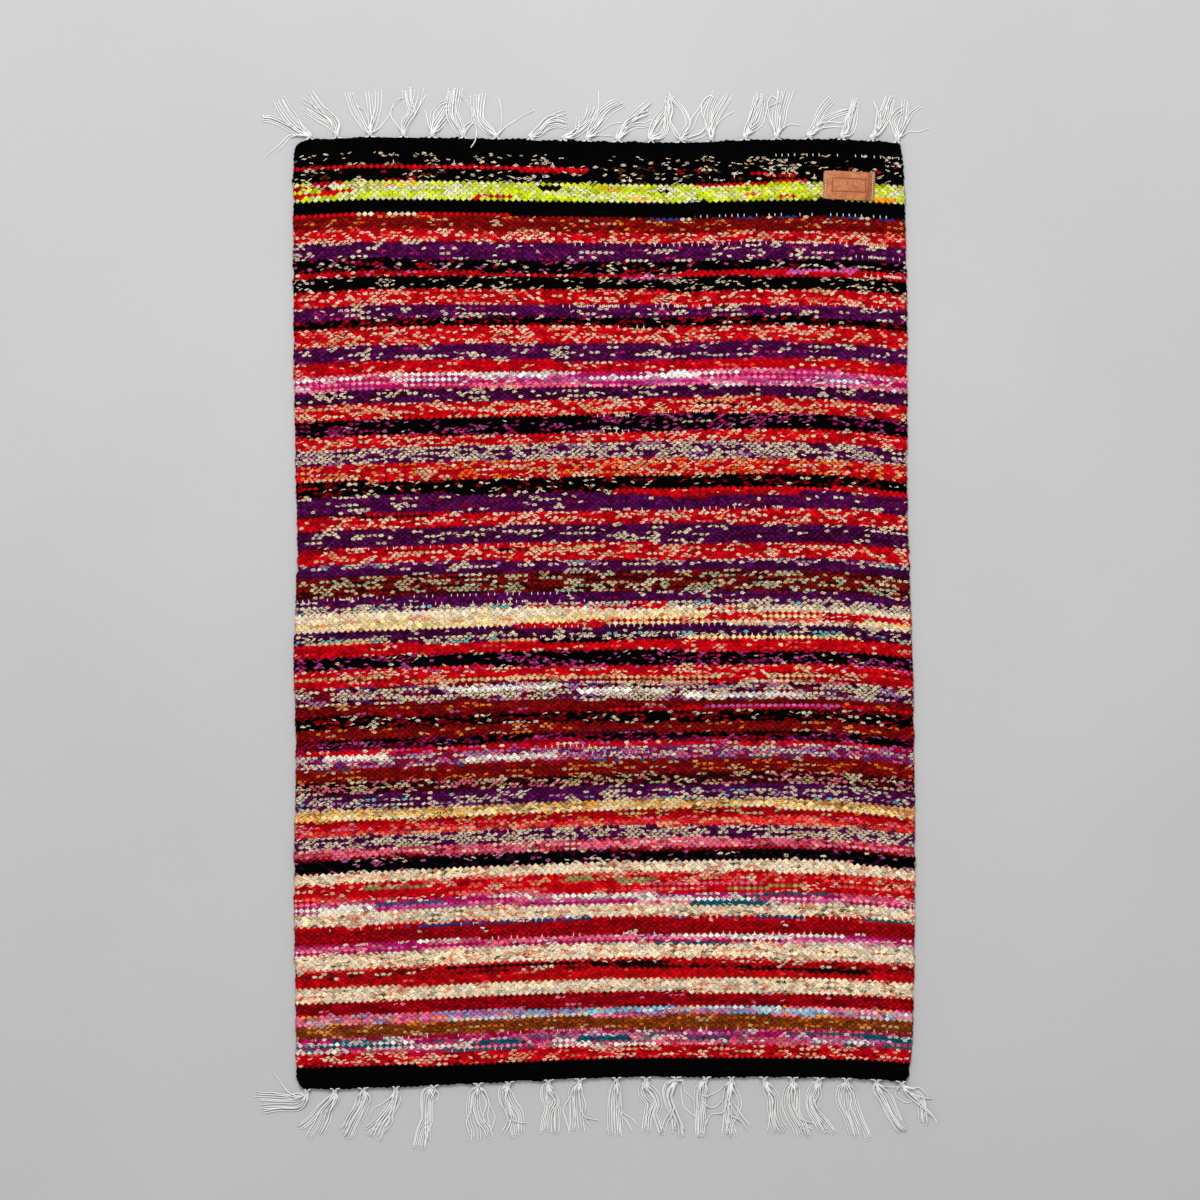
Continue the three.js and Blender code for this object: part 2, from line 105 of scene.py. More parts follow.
# The stripes from the upper end down. Each row gives the pick it ends at, its ground yarn, the yarns flecked
# into it with their shares, how unevenly the flecks fall (0 alike in all beads, 4 whole beads at a time) and
# how much they gather in clusters. A row with a run draws each pick from those yarns in long runs of beads.
STRIPES = (
    (6, "black", {}, 0, 0),
    (10, "black", {"cream": 0.05, "sand": 0.02}, 1.6, 0.6),
    (17.3, "black", {"cream": 0.07, "cocoa": 0.03, "red": 0.01}, 1.5, 0.45),
    (23.6, "lime", {"white": 0.3, "straw": 0.08}, 2.2, 0.5),
    (29.6, "black", {}, 0, 0),
    (30.6, "maroon", {"blue": 0.28, "cream": 0.16, "cocoa": 0.2}, 3, 0.3),
    (35, "brick", {"orange": 0.07, "sand": 0.05, "maroon": 0.22}, 0.9, 0.3),
    (40.2, "red", {"cream": 0.22, "coral": 0.04, "sand": 0.06, "crimson": 0.1}, 1.1, 0.45),
    (46.3, "purple", {"cream": 0.15, "plum": 0.28, "magenta": 0.04}, 1.5, 0.6),
    (51, "black", {"cream": 0.06, "orchid": 0.04, "red": 0.03, "crimson": 0.02}, 1.6, 0.5),
    (53.2, "red", {"black": 0.1, "orchid": 0.07, "crimson": 0.12, "cream": 0.08}, 1.8, 0.6),
    (58.3, "black", {"cream": 0.07, "sand": 0.01}, 1.3, 0.3),
    (64.2, "red", {"cream": 0.16, "coral": 0.04, "sand": 0.04, "crimson": 0.14}, 1, 0.45),
    (69.3, "purple", {"cream": 0.14, "plum": 0.26, "magenta": 0.04}, 1.5, 0.6),
    (72.6, "black", {"crimson": 0.12, "red": 0.07, "cream": 0.03}, 1.5, 0.5),
    (79, "red", {"cream": 0.19, "coral": 0.04, "sand": 0.05, "crimson": 0.1}, 1.1, 0.45),
    (85, "purple", {"cream": 0.12, "plum": 0.3, "magenta": 0.03}, 1.5, 0.6),
    (90.3, "red", {"crimson": 0.24, "cream": 0.08, "coral": 0.03, "sand": 0.02}, 1, 0.5),
    (96, ("magenta", "orchid", "pink", "white", "ice", "magenta", "rose"), {"white": 0.08, "magenta": 0.16},
     2, 0.5),
    (101.5, "plum", {"cream": 0.14, "purple": 0.3}, 1.5, 0.6),
    (107.6, "red", {"cream": 0.2, "sand": 0.13, "crimson": 0.12}, 1.1, 0.45),
    (113.2, "black", {"orchid": 0.08, "magenta": 0.06, "cream": 0.01}, 1.6, 0.6),
    (118.5, "red", {"cream": 0.16, "sand": 0.07, "crimson": 0.1, "coral": 0.02}, 1, 0.4),
    (124.2, "purple", {"cream": 0.44, "lilac": 0.05, "plum": 0.1}, 1, 0.3),
    (130.4, "red", {"orange": 0.13, "sand": 0.1, "cream": 0.1, "crimson": 0.08}, 1.2, 0.6),
    (136.3, "black", {"cream": 0.07, "crimson": 0.06, "red": 0.02}, 1.6, 0.5),
    (143.3, "purple", {"plum": 0.3, "cream": 0.1, "crimson": 0.04}, 1.5, 0.6),
    (149.6, "red", {"cream": 0.18, "coral": 0.04, "crimson": 0.14, "sand": 0.03}, 1.1, 0.45),
    (156.2, "plum", {"purple": 0.35, "cream": 0.16}, 1.5, 0.6),
    (162.3, "red", {"cream": 0.18, "sand": 0.08, "crimson": 0.16}, 1.1, 0.45),
    (164.3, "purple", {"cream": 0.3, "turquoise": 0.04, "lilac": 0.05, "plum": 0.15}, 1.4, 0.4),
    (167.3, "purple", {"plum": 0.45, "cream": 0.03}, 0.9, 0.3),
    (175.6, "maroon", {"sage": 0.13, "sand": 0.15, "brick": 0.25, "espresso": 0.1, "cream": 0.04}, 1.1,
     0.5),
    (178.2, "purple", {"plum": 0.3, "cream": 0.08, "crimson": 0.03}, 1.1, 0.4),
    (181, "purple", {"cream": 0.52, "white": 0.06, "turquoise": 0.04, "plum": 0.05}, 1.2, 0.4),
    (184, "cream", {"white": 0.3, "straw": 0.12, "rose": 0.05}, 2, 0.6),
    (187, "straw", {"cream": 0.35, "white": 0.1, "coral": 0.05}, 1.6, 0.5),
    (188.6, "cream", {"white": 0.25, "coral": 0.08, "plum": 0.12}, 1.8, 0.6),
    (190.6, "plum", {"purple": 0.35, "cream": 0.09}, 1.1, 0.4),
    (193.7, "plum", {"cream": 0.3, "turquoise": 0.05, "purple": 0.12}, 1.4, 0.5),
    (198.6, "red", {"crimson": 0.22, "cream": 0.06, "coral": 0.03}, 1, 0.5),
    (203.6, "black", {"orchid": 0.07, "magenta": 0.08, "cream": 0.02}, 1.6, 0.6),
    (205.2, "red", {"orchid": 0.08, "cream": 0.15}, 1.6, 0.6),
    (210.3, ("red", "crimson", "red", "sand", "red"), {"cream": 0.08, "crimson": 0.15, "sand": 0.05}, 1.4,
     0.4),
    (217, "plum", {"cream": 0.36, "lilac": 0.1, "pink": 0.08, "crimson": 0.12, "violet": 0.1}, 1.1, 0.5),
    (220.3, "brick", {"orange": 0.06, "maroon": 0.3, "sand": 0.03, "espresso": 0.06}, 0.9, 0.4),
    (221.5, "crimson", {"black": 0.35, "orchid": 0.06}, 2, 0.7),
    (226, "black", {"cream": 0.08, "crimson": 0.12, "red": 0.03}, 1.4, 0.3),
    (230.6, "brick", {"orange": 0.05, "sand": 0.04, "maroon": 0.25}, 0.9, 0.4),
    (234.6, ("black", "black", "plum", "black", "crimson"),
     {"magenta": 0.09, "orchid": 0.05, "crimson": 0.1}, 1.6, 0.5),
    (235.8, "red", {"orchid": 0.2, "cream": 0.14, "plum": 0.1}, 2, 0.7),
    (240.8, "violet", {"cream": 0.32, "rose": 0.14, "crimson": 0.14, "lilac": 0.08}, 1.2, 0.5),
    (241.8, "brick", {"blue": 0.16, "cream": 0.09, "teal": 0.06}, 2.4, 0.6),
    (246, "brick", {"orange": 0.07, "sand": 0.04, "maroon": 0.25}, 0.9, 0.4),
    (251.6, "espresso", {"rose": 0.14, "sand": 0.14, "cream": 0.08, "maroon": 0.14}, 1.1, 0.4),
    (253.6, "purple", {"plum": 0.25, "cream": 0.12}, 1.1, 0.5),
    (257.2, "purple", {"cream": 0.28, "turquoise": 0.05, "lilac": 0.06, "plum": 0.1}, 1.3, 0.4),
    (259.6, "sand", {"caramel": 0.18, "straw": 0.2, "amber": 0.08}, 1.1, 0.4),
    (261, "straw", {"white": 0.14, "orange": 0.12, "coral": 0.08, "plum": 0.05}, 1.1, 0.4),
    (263.2, "crimson", {"red": 0.35, "orange": 0.08, "sand": 0.12}, 1, 0.4),
    (265.6, "red", {"pink": 0.1, "coral": 0.14, "sand": 0.08, "crimson": 0.1}, 0.9, 0.2),
    (267.3, "coral", {"red": 0.35, "sand": 0.2, "plum": 0.12}, 0.9, 0.3),
    (272.6, "purple", {"cream": 0.4, "sand": 0.1, "plum": 0.1}, 0.9, 0.25),
    (275.4, "rose", {"pink": 0.16, "black": 0.07, "cream": 0.1, "crimson": 0.2}, 1.3, 0.5),
    (276.5, "crimson", {"rose": 0.15, "black": 0.15}, 1.6, 0.6),
    (281.4, "black", {"orchid": 0.08, "plum": 0.12, "cream": 0.05}, 1.6, 0.6),
    (285.4, "cream", {"white": 0.2, "red": 0.05, "black": 0.05, "coral": 0.06}, 1.1, 0.2),
    (288, "red", {"crimson": 0.12, "coral": 0.18, "cream": 0.14, "sand": 0.08}, 1.3, 0.6),
    (292, ("red", "rose", "red", "red", "coral", "red"), {"cream": 0.09, "crimson": 0.12}, 1.5, 0.5),
    (296.5, ("magenta", "orchid", "pink", "magenta", "white", "rose"), {"white": 0.08, "magenta": 0.16}, 2,
     0.5),
    (301.2, "cream", {"white": 0.2, "red": 0.06, "black": 0.05, "coral": 0.06}, 1.1, 0.2),
    (303, "red", {"crimson": 0.25, "coral": 0.1, "blue": 0.05, "cream": 0.09}, 1.8, 0.6),
    (308.6, "crimson", {"brick": 0.2, "red": 0.25, "white": 0.03}, 0.9, 0.4),
    (312.6, ("magenta", "orchid", "pink", "magenta", "rose", "magenta", "white"),
     {"white": 0.07, "magenta": 0.14}, 2, 0.5),
    (318.4, "cream", {"white": 0.2, "red": 0.07, "black": 0.06, "coral": 0.06}, 1.1, 0.2),
    (319.5, "red", {"coral": 0.12, "cream": 0.12}, 1.6, 0.5),
    (322.3, "brick", {"espresso": 0.2, "red": 0.3, "cream": 0.06}, 1.3, 0.5),
    (325.4, "red", {"brick": 0.35, "coral": 0.05}, 1, 0.5),
    (331.6, "cream", {"white": 0.2, "red": 0.05, "black": 0.05, "coral": 0.06}, 1.1, 0.2),
    (336.2, "crimson", {"maroon": 0.1, "red": 0.2, "pink": 0.03}, 0.9, 0.3),
    (340, ("pink", "sky", "rose", "lilac", "pink", "ice"),
     {"coral": 0.14, "sky": 0.12, "amber": 0.06, "violet": 0.06}, 2.2, 0.4),
    (345, "caramel", {"cocoa": 0.3, "sand": 0.06, "orange": 0.06}, 0.9, 0.5),
    (346.6, "magenta", {"crimson": 0.2, "rose": 0.3, "white": 0.06}, 1.6, 0.6),
    (351, ("pink", "white", "teal", "magenta", "rose", "rose", "lilac"),
     {"teal": 0.1, "white": 0.14, "magenta": 0.14}, 2.2, 0.4),
    (356.3, "red", {"cream": 0.19, "coral": 0.05, "black": 0.06, "sand": 0.03, "crimson": 0.08}, 1, 0.3),
    (PICKS + 1, "black", {}, 0, 0),
)
RUN_OF_BEADS = 11
FLECK_REACH = 3

# Single runs of one yarn inside a stripe: first place across in percent with its pick, last place with its
# pick, the run's height in picks and its yarn.
SINGLE_RUNS = (
    (0, 11, 48, 11.9, 1.2, "red"), (75, 13.6, 82, 14.2, 1, "red"), (66, 16.8, 77, 17.3, 1, "red"),
    (78, 16.6, 84, 16.2, 1, "red"), (0, 19, 8, 17, 1.6, "red"), (0, 22, 10, 20, 1.6, "red"),
    (30, 22.8, 36, 22, 1.2, "red"), (74, 21.2, 76, 21.2, 1, "coral"), (79, 22.4, 82, 22, 1, "red"),
    (15, 18.2, 17, 18.2, 1.4, "amber"), (18, 17.5, 20, 17.5, 1, "amber"), (50, 18.4, 53, 19.2, 1, "amber"),
    (55, 22.6, 58, 22.6, 1, "amber"), (95, 23, 98, 23, 1.4, "amber"), (4.5, 19.2, 6.5, 19.2, 1, "espresso"),
    (40.5, 19, 43.5, 19, 1.4, "espresso"), (59.5, 19.4, 61.5, 19.4, 1, "espresso"),
    (64.5, 23, 67, 23, 1, "espresso"), (72, 24.2, 74, 24.2, 1, "espresso"), (86, 23, 89, 23, 1, "espresso"),
    (0, 29.2, 35, 29.2, 1, "red"), (11, 29.2, 13, 29.2, 1, "cream"), (16, 29.2, 20, 29.2, 1, "cream"),
    (25, 52.2, 100, 51.6, 1.2, "red"), (54, 53.4, 62, 53.2, 1, "orchid"), (80, 52, 92, 50.6, 1.2, "orchid"),
    (66, 103.4, 73, 104, 1, "espresso"), (52, 136.8, 100, 136, 1.8, "red"),
    (58, 138, 82, 137.6, 1.4, "red"), (62, 139, 72, 138.6, 1, "crimson"),
    (0, 143.6, 22, 144, 1, "espresso"), (33, 158.4, 40, 158.4, 1, "black"),
    (38, 158.2, 50, 157.6, 1, "sand"), (0, 157, 28, 157.4, 1.6, "crimson"), (38, 180.6, 58, 181, 1, "red"),
    (55, 180.3, 60, 180.3, 2.2, "red"), (65, 182.6, 70.5, 182.6, 1.4, "red"),
    (71, 182.6, 75, 182.6, 1.4, "caramel"), (67, 184.8, 100, 184, 1.4, "red"),
    (86, 184.6, 100, 184.4, 2.2, "red"), (46, 186.6, 92, 186.6, 1, "red"), (36, 188, 50, 188.2, 1.8, "red"),
    (78, 187.6, 90, 187.8, 1, "coral"), (4, 192.6, 40, 193, 0.8, "sand"),
    (40, 193.8, 62, 193.4, 1.4, "black"), (64, 193.6, 90, 193.6, 1, "straw"),
    (25, 211.8, 43, 212, 2, "white"), (46, 214, 60, 213.6, 2, "white"),
    (63, 215.6, 82, 215.6, 1.8, "white"), (50, 221, 100, 220.6, 1.2, "red"),
    (66, 220, 88, 220.2, 1, "orchid"), (28, 235, 66, 235, 1.2, "red"), (70, 236.6, 82, 235.6, 1.4, "red"),
    (5, 237, 15, 237, 2, "white"), (28, 238.8, 42, 238.6, 2, "white"), (14, 293, 24.5, 293, 1, "teal"),
    (72, 294, 86, 293.2, 1, "teal"), (64, 296.8, 76, 296.8, 1, "teal"), (20, 302.2, 48, 302, 1, "blue"),
    (74, 302.4, 82, 302, 1, "blue"), (92, 302.2, 100, 302.6, 1, "teal"), (58, 312, 70, 312.6, 1.2, "teal"),
    (25, 319.4, 60, 319.2, 1.2, "espresso"), (48, 320.4, 72, 321.6, 1.4, "espresso"),
    (72, 322, 92, 323, 1.6, "espresso"), (12, 287, 22, 287.4, 1.6, "olive"),
    (52, 287.6, 58, 287.6, 1.6, "olive"), (70, 291, 82, 290.6, 1, "olive"),
    (44, 286.6, 48, 286.6, 1.6, "olive"), (6, 348.6, 18, 348.4, 1, "teal"),
    (30, 348.4, 36, 348.6, 1.4, "teal"), (46, 349, 54, 349, 1.4, "teal"), (64, 349, 70, 349, 1, "teal"),
    (80, 347.2, 88, 347, 1.4, "teal"), (92, 348, 99, 349, 1.4, "teal"), (48, 340.2, 60, 340.2, 1, "pink"),
)

# Where pale warp shows between the beads: the pick, from and to a share across, and how often.
WARP_SHOWS = (
    (5.9, 0.78, 1, 0.7), (9.5, 0.1, 0.5, 0.2), (14, 0.3, 1, 0.15), (29.6, 0.66, 0.98, 0.7),
    (40, 0.46, 0.99, 0.6), (45, 0.9, 0.99, 0.7), (52, 0.93, 0.99, 0.7), (64.7, 0.43, 0.99, 0.6),
    (72, 0.5, 0.9, 0.2), (90.4, 0.2, 0.4, 0.5), (95.8, 0.3, 0.9, 0.3), (106.4, 0.6, 0.68, 0.8),
    (107.6, 0.48, 0.55, 0.6), (113, 0.48, 0.55, 0.7), (143.4, 0.5, 0.8, 0.4), (156, 0.1, 0.4, 0.4),
    (175.4, 0, 0.45, 0.6), (178, 0.1, 0.5, 0.4), (188.6, 0.3, 0.9, 0.5), (192, 0.4, 0.8, 0.4),
    (210.4, 0.2, 0.8, 0.3), (235.6, 0.4, 0.6, 0.6), (238, 0.45, 0.6, 0.6), (267.4, 0.2, 0.7, 0.3),
    (302.6, 0, 1, 0.3), (308.4, 0.1, 0.9, 0.3), (345, 0, 1, 0.3), (351, 0.2, 0.8, 0.3),
)

rng = np.random.default_rng(20)


def through_points(places, heights, at):
    """A smooth line through a side's points, at the given places."""
    before = np.maximum(np.arange(len(places)) - 1, 0)
    after = np.minimum(np.arange(len(places)) + 1, len(places) - 1)
    slopes = (heights[after] - heights[before]) / (places[after] - places[before])
    i = np.clip(np.searchsorted(places, at) - 1, 0, len(places) - 2)
    step = places[i + 1] - places[i]
    t = np.clip((at - places[i]) / step, 0, 1)
    return (heights[i] * (2 * t**3 - 3 * t**2 + 1) + slopes[i] * step * (t**3 - 2 * t**2 + t)
            + heights[i + 1] * (3 * t**2 - 2 * t**3) + slopes[i + 1] * step * (t**3 - t**2))


def long_edge(side, y):
    """How far across a long edge lies, at places y along the cloth."""
    rising = (LEFT_EDGE if side < 0 else RIGHT_EDGE)[::-1]
    return through_points(rising[:, 1], rising[:, 0], y)


def short_end(end, x):
    """How far along the cloth a short end lies, at places x across."""
    points = TOP_END if end > 0 else BOTTOM_END
    return through_points(points[:, 0], points[:, 1], x)


def row_hang(u, w):
    """How far the rows hang below a straight line between the two ends, at shares u across and w down."""
    u, w = u[None, :], w[:, None]
    hang = np.zeros((w.size, u.size))
    for middle_u, middle_w, reach_u, reach_w, depth in ROW_BOWS:
        off_middle = ((u - middle_u) / reach_u) ** 2 + ((w - middle_w) / reach_w) ** 2
        hang += depth * MILLIMETRE * np.exp(-off_middle)
    return hang * np.clip(BOW_NEAR_ENDS * w * (1 - w), 0, 1)


def cloth_place(u, w, hang):
    """Where a point of the cloth lies, u across from the left edge and w down from the upper end."""
    middle_top = short_end(1, np.zeros(1))[0]
    middle_bottom = short_end(-1, np.zeros(1))[0]
    level = middle_top + (middle_bottom - middle_top) * w
    left = long_edge(-1, level)
    x = left + (long_edge(1, level) - left) * u
    top = short_end(1, x)
    bottom = short_end(-1, x)
    y = top + (bottom - top) * w - hang
    for side, end, radius in CORNERS:
        corner_y = top if end > 0 else bottom
        corner_x = long_edge(side, corner_y)
        r = radius * MILLIMETRE
        a = np.clip(1 - np.abs(x - corner_x) / r, 0, 1)
        b = np.clip(1 - np.abs(y - corner_y) / r, 0, 1)
        near = (a > 0) & (b > 0)
        x = np.where(near, corner_x - side * r * (1 - a * np.sqrt(1 - b * b / 2)), x)
        y = np.where(near, corner_y - end * r * (1 - b * np.sqrt(1 - a * a / 2)), y)
    return x, y


def body_top(x, y):
    """The top of the cloth, which swells and dips gently."""
    across = np.sin(2 * np.pi * (x / SWELL_ACROSS + y / SWELL_SLANT))
    along = np.cos(2 * np.pi * (y / SWELL_ALONG + x / SWELL_SLANT))
    return THICKNESS + 0.5 * SWELL_HEIGHT * (across + along)


def soft_noise(rows, columns, across, down):
    """Seeded noise with an even spread, smoothed over so many warps across and picks down."""
    noise = rng.standard_normal((rows, columns))
    for axis, reach in ((1, across), (0, down)):
        if reach > 0:
            span = np.arange(-math.ceil(3 * reach), math.ceil(3 * reach) + 1)
            kernel = np.exp(-0.5 * (span / reach) ** 2)
            noise = np.apply_along_axis(lambda line: np.convolve(line, kernel, mode="same"), axis, noise)
    return (noise - noise.mean()) / noise.std()


def rim_turn(steps, gaps, pitch, lift):
    """Stations over the cloth and its two rounded rims, each pushed out of the cloth by lift. Gives how far
    in each one is from the nearer rim, seen from above, and the share of the height that it has reached."""
    from_rim = np.minimum(steps, gaps - steps) * pitch
    angle = np.minimum(from_rim / EDGE_RADIUS, math.pi / 2)
    past = np.maximum(from_rim - EDGE_RADIUS * math.pi / 2, 0)
    inset = EDGE_RADIUS - (EDGE_RADIUS + lift) * np.cos(angle) + past
    return inset, np.sin(angle)


def linear(colour):
    """A daylight colour out of 255 as the linear numbers that a shader takes."""
    share = np.asarray(colour, float) / 255
    return np.where(share <= 0.04045, share / 12.92, ((share + 0.055) / 1.055) ** 2.4)


def cloth_points(columns, rows, lift, face):
    """Points of the top or the underside, row by row. lift pushes each point out of the cloth."""
    width_pitch = (CLOTH_WIDTH + EDGE_RADIUS * (math.pi - 2)) / WARP_GAPS
    length_pitch = (CLOTH_LENGTH + EDGE_RADIUS * (math.pi - 2)) / PICKS
    inset_x, rise_x = rim_turn(columns[None, :], WARP_GAPS, width_pitch, lift)
    inset_y, rise_y = rim_turn(rows[:, None], PICKS, length_pitch, lift)
    u = np.where(columns[None, :] > WARP_GAPS / 2, 1 - inset_x / CLOTH_WIDTH, inset_x / CLOTH_WIDTH)
    w = np.where(rows[:, None] > PICKS / 2, 1 - inset_y / CLOTH_LENGTH, inset_y / CLOTH_LENGTH)
    hang = row_hang(columns / WARP_GAPS, rows / PICKS)
    x, y = cloth_place(np.broadcast_to(u, hang.shape), np.broadcast_to(w, hang.shape), hang)
    rise = rise_x * rise_y
    half = 0.5 * body_top(x, y)
    z = half + (half + lift) * rise if face == "top" else half - (half + lift) * rise
    return x, y, z


def bead_noise(across, down):
    """Soft noise with one value for every crossing of a warp and a pick."""
    return soft_noise(PICKS + 1, WARP_GAPS + 1, across, down)


# Every bead stands over one warp, and the beads of the next pick stand over the warps between. No two beads
# are quite alike, the picks wander, and the selvedges and the short ends are a little ragged.
BEAD_UNEVENNESS = 0.00012
HOLLOW_UNEVENNESS = 0.1
WANDER_DOWN = 0.0003
BEAD_SHIFT_DOWN = 0.0001
BEAD_SHIFT_ACROSS = 0.00018
SELVEDGE_RAGGEDNESS = 0.0004
END_RAGGEDNESS = 0.0006
WARPS_THAT_STRAY = 1.5
PICKS_THAT_STRAY = 2.0

columns = np.arange(WARP_GAPS + 1)
rows = np.arange(PICKS + 1)
is_bead = (columns[None, :] + rows[:, None]) % 2 == 0
bead_size = 0.14 * bead_noise(0, 0) + 0.1 * bead_noise(4, 1)
hollow_lift = -BEAD_DEPTH * (1 + HOLLOW_UNEVENNESS * bead_size)
lift = np.where(is_bead, BEAD_UNEVENNESS * bead_size, hollow_lift)
x, y, z = cloth_points(columns, rows, lift, "top")
off_the_ends = np.sin(math.pi * rows / PICKS)[:, None] ** 0.5
row_wander = WANDER_DOWN * bead_noise(14, 5) * off_the_ends
y = y + row_wander + np.where(is_bead, BEAD_SHIFT_DOWN * bead_noise(0, 0), 0)
x = x + BEAD_SHIFT_ACROSS * bead_noise(0, 1)
to_side = np.minimum(columns, WARP_GAPS - columns)[None, :]
to_end = np.minimum(rows, PICKS - rows)[:, None]
x = x + SELVEDGE_RAGGEDNESS * soft_noise(PICKS + 1, 1, 0, 0.7) * np.exp(-to_side / WARPS_THAT_STRAY)
y = y + END_RAGGEDNESS * soft_noise(1, WARP_GAPS + 1, 1.2, 0) * np.exp(-to_end / PICKS_THAT_STRAY)

# The cloth gives way by a hair under the label, whose edges bed into the beads.
LABEL_SIZE = np.array([0.05, 0.0275])
LABEL_PLACE = np.array([0.2375, 0.4124])
LABEL_TURN = math.radians(-2.5)
LABEL_PRESS = 0.0003
PRESSED_ROUND_LABEL = 0.003
from_label = np.stack([x - LABEL_PLACE[0], y - LABEL_PLACE[1]], -1)
cosine, sine = math.cos(LABEL_TURN), math.sin(LABEL_TURN)
turn_back = np.array([[cosine, sine], [-sine, cosine]])
off_label = np.abs(from_label @ turn_back.T) - LABEL_SIZE / 2
z = z - LABEL_PRESS * np.clip(1 - off_label.max(-1) / PRESSED_ROUND_LABEL, 0, 1)
top_points = np.stack([x, y, z], -1).reshape(-1, 3)

# The underside is the same weave at half the fineness, and it shares the rim's points with the top.
low_columns = np.unique(np.r_[0, 1, np.arange(2, WARP_GAPS - 1, 2), WARP_GAPS - 1, WARP_GAPS])
low_rows = np.unique(np.r_[0, 1, np.arange(2, PICKS - 1, 2), PICKS - 1, PICKS])
low_bead = (np.arange(len(low_columns))[None, :] + np.arange(len(low_rows))[:, None]) % 2 == 0
low_lift = np.where(low_bead, 0.0, -UNDERSIDE_DEPTH)
low_x, low_y, low_z = cloth_points(low_columns, low_rows, low_lift, "underside")
low_points = np.stack([low_x, low_y, np.maximum(low_z, 0)], -1).reshape(-1, 3)
on_rim = np.zeros((len(low_rows), len(low_columns)), bool)
on_rim[[0, -1], :] = True
on_rim[:, [0, -1]] = True
low_index = np.zeros(on_rim.shape, int)
low_index[~on_rim] = len(top_points) + np.arange((~on_rim).sum())
rim_rows, rim_columns = np.nonzero(on_rim)
low_index[on_rim] = low_rows[rim_rows] * (WARP_GAPS + 1) + low_columns[rim_columns]
points = np.concatenate([top_points, low_points.reshape(*on_rim.shape, 3)[~on_rim]])

# Each square between two picks and two warps is parted along the line that joins its two hollows.
top_index = np.arange(len(top_points)).reshape(PICKS + 1, WARP_GAPS + 1)
a = top_index[:-1, :-1]
b = top_index[:-1, 1:]
c = top_index[1:, 1:]
d = top_index[1:, :-1]
bead_first = is_bead[:-1, :-1]
first = np.where(bead_first[..., None], np.stack([a, d, b], -1), np.stack([b, a, c], -1))
second = np.where(bead_first[..., None], np.stack([c, b, d], -1), np.stack([d, c, a], -1))
bead_of_first = np.where(bead_first, a, b)
bead_of_second = np.where(bead_first, c, d)
triangles = [first.reshape(-1, 3), second.reshape(-1, 3)]
bead_of = [bead_of_first.ravel(), bead_of_second.ravel()]

# A square of the underside at the rim also takes in the rim's points between its own, so no seam stays open.
low_triangles = []
low_bead_of = []
for n in range(len(low_rows) - 1):
    for m in range(len(low_columns) - 1):
        corners = [(low_rows[n], low_columns[m]), (low_rows[n], low_columns[m + 1]),
                   (low_rows[n + 1], low_columns[m + 1]), (low_rows[n + 1], low_columns[m])]
        loop = []
        ids = [low_index[n, m], low_index[n, m + 1], low_index[n + 1, m + 1], low_index[n + 1, m]]
        for side in range(4):
            (row, column), (next_row, next_column) = corners[side], corners[(side + 1) % 4]
            loop.append(ids[side])
            along_end = row == next_row and row in (0, PICKS)
            along_selvedge = column == next_column and column in (0, WARP_GAPS)
            if (along_end or along_selvedge) and abs(row - next_row) + abs(column - next_column) == 2:
                loop.append((row + next_row) // 2 * (WARP_GAPS + 1) + (column + next_column) // 2)
        inner = [place for place, point in enumerate(loop) if point >= len(top_points)]
        start = inner[0] if inner else 0
        loop = loop[start:] + loop[:start]
        if len(loop) == 4 and low_bead[n, m] != (start % 2 == 0):
            loop = loop[1:] + loop[:1]
        bead_row = (low_rows[n] + low_rows[n + 1]) // 2
        bead_column = (low_columns[m] + low_columns[m + 1]) // 2
        bead = bead_row * (WARP_GAPS + 1) + bead_column + (bead_row + bead_column) % 2
        for place in range(1, len(loop) - 1):
            low_triangles.append((loop[0], loop[place], loop[place + 1]))
            low_bead_of.append(bead)
triangles.append(np.array(low_triangles))
bead_of.append(np.array(low_bead_of))
triangles = np.concatenate(triangles)
bead_of = np.concatenate(bead_of)

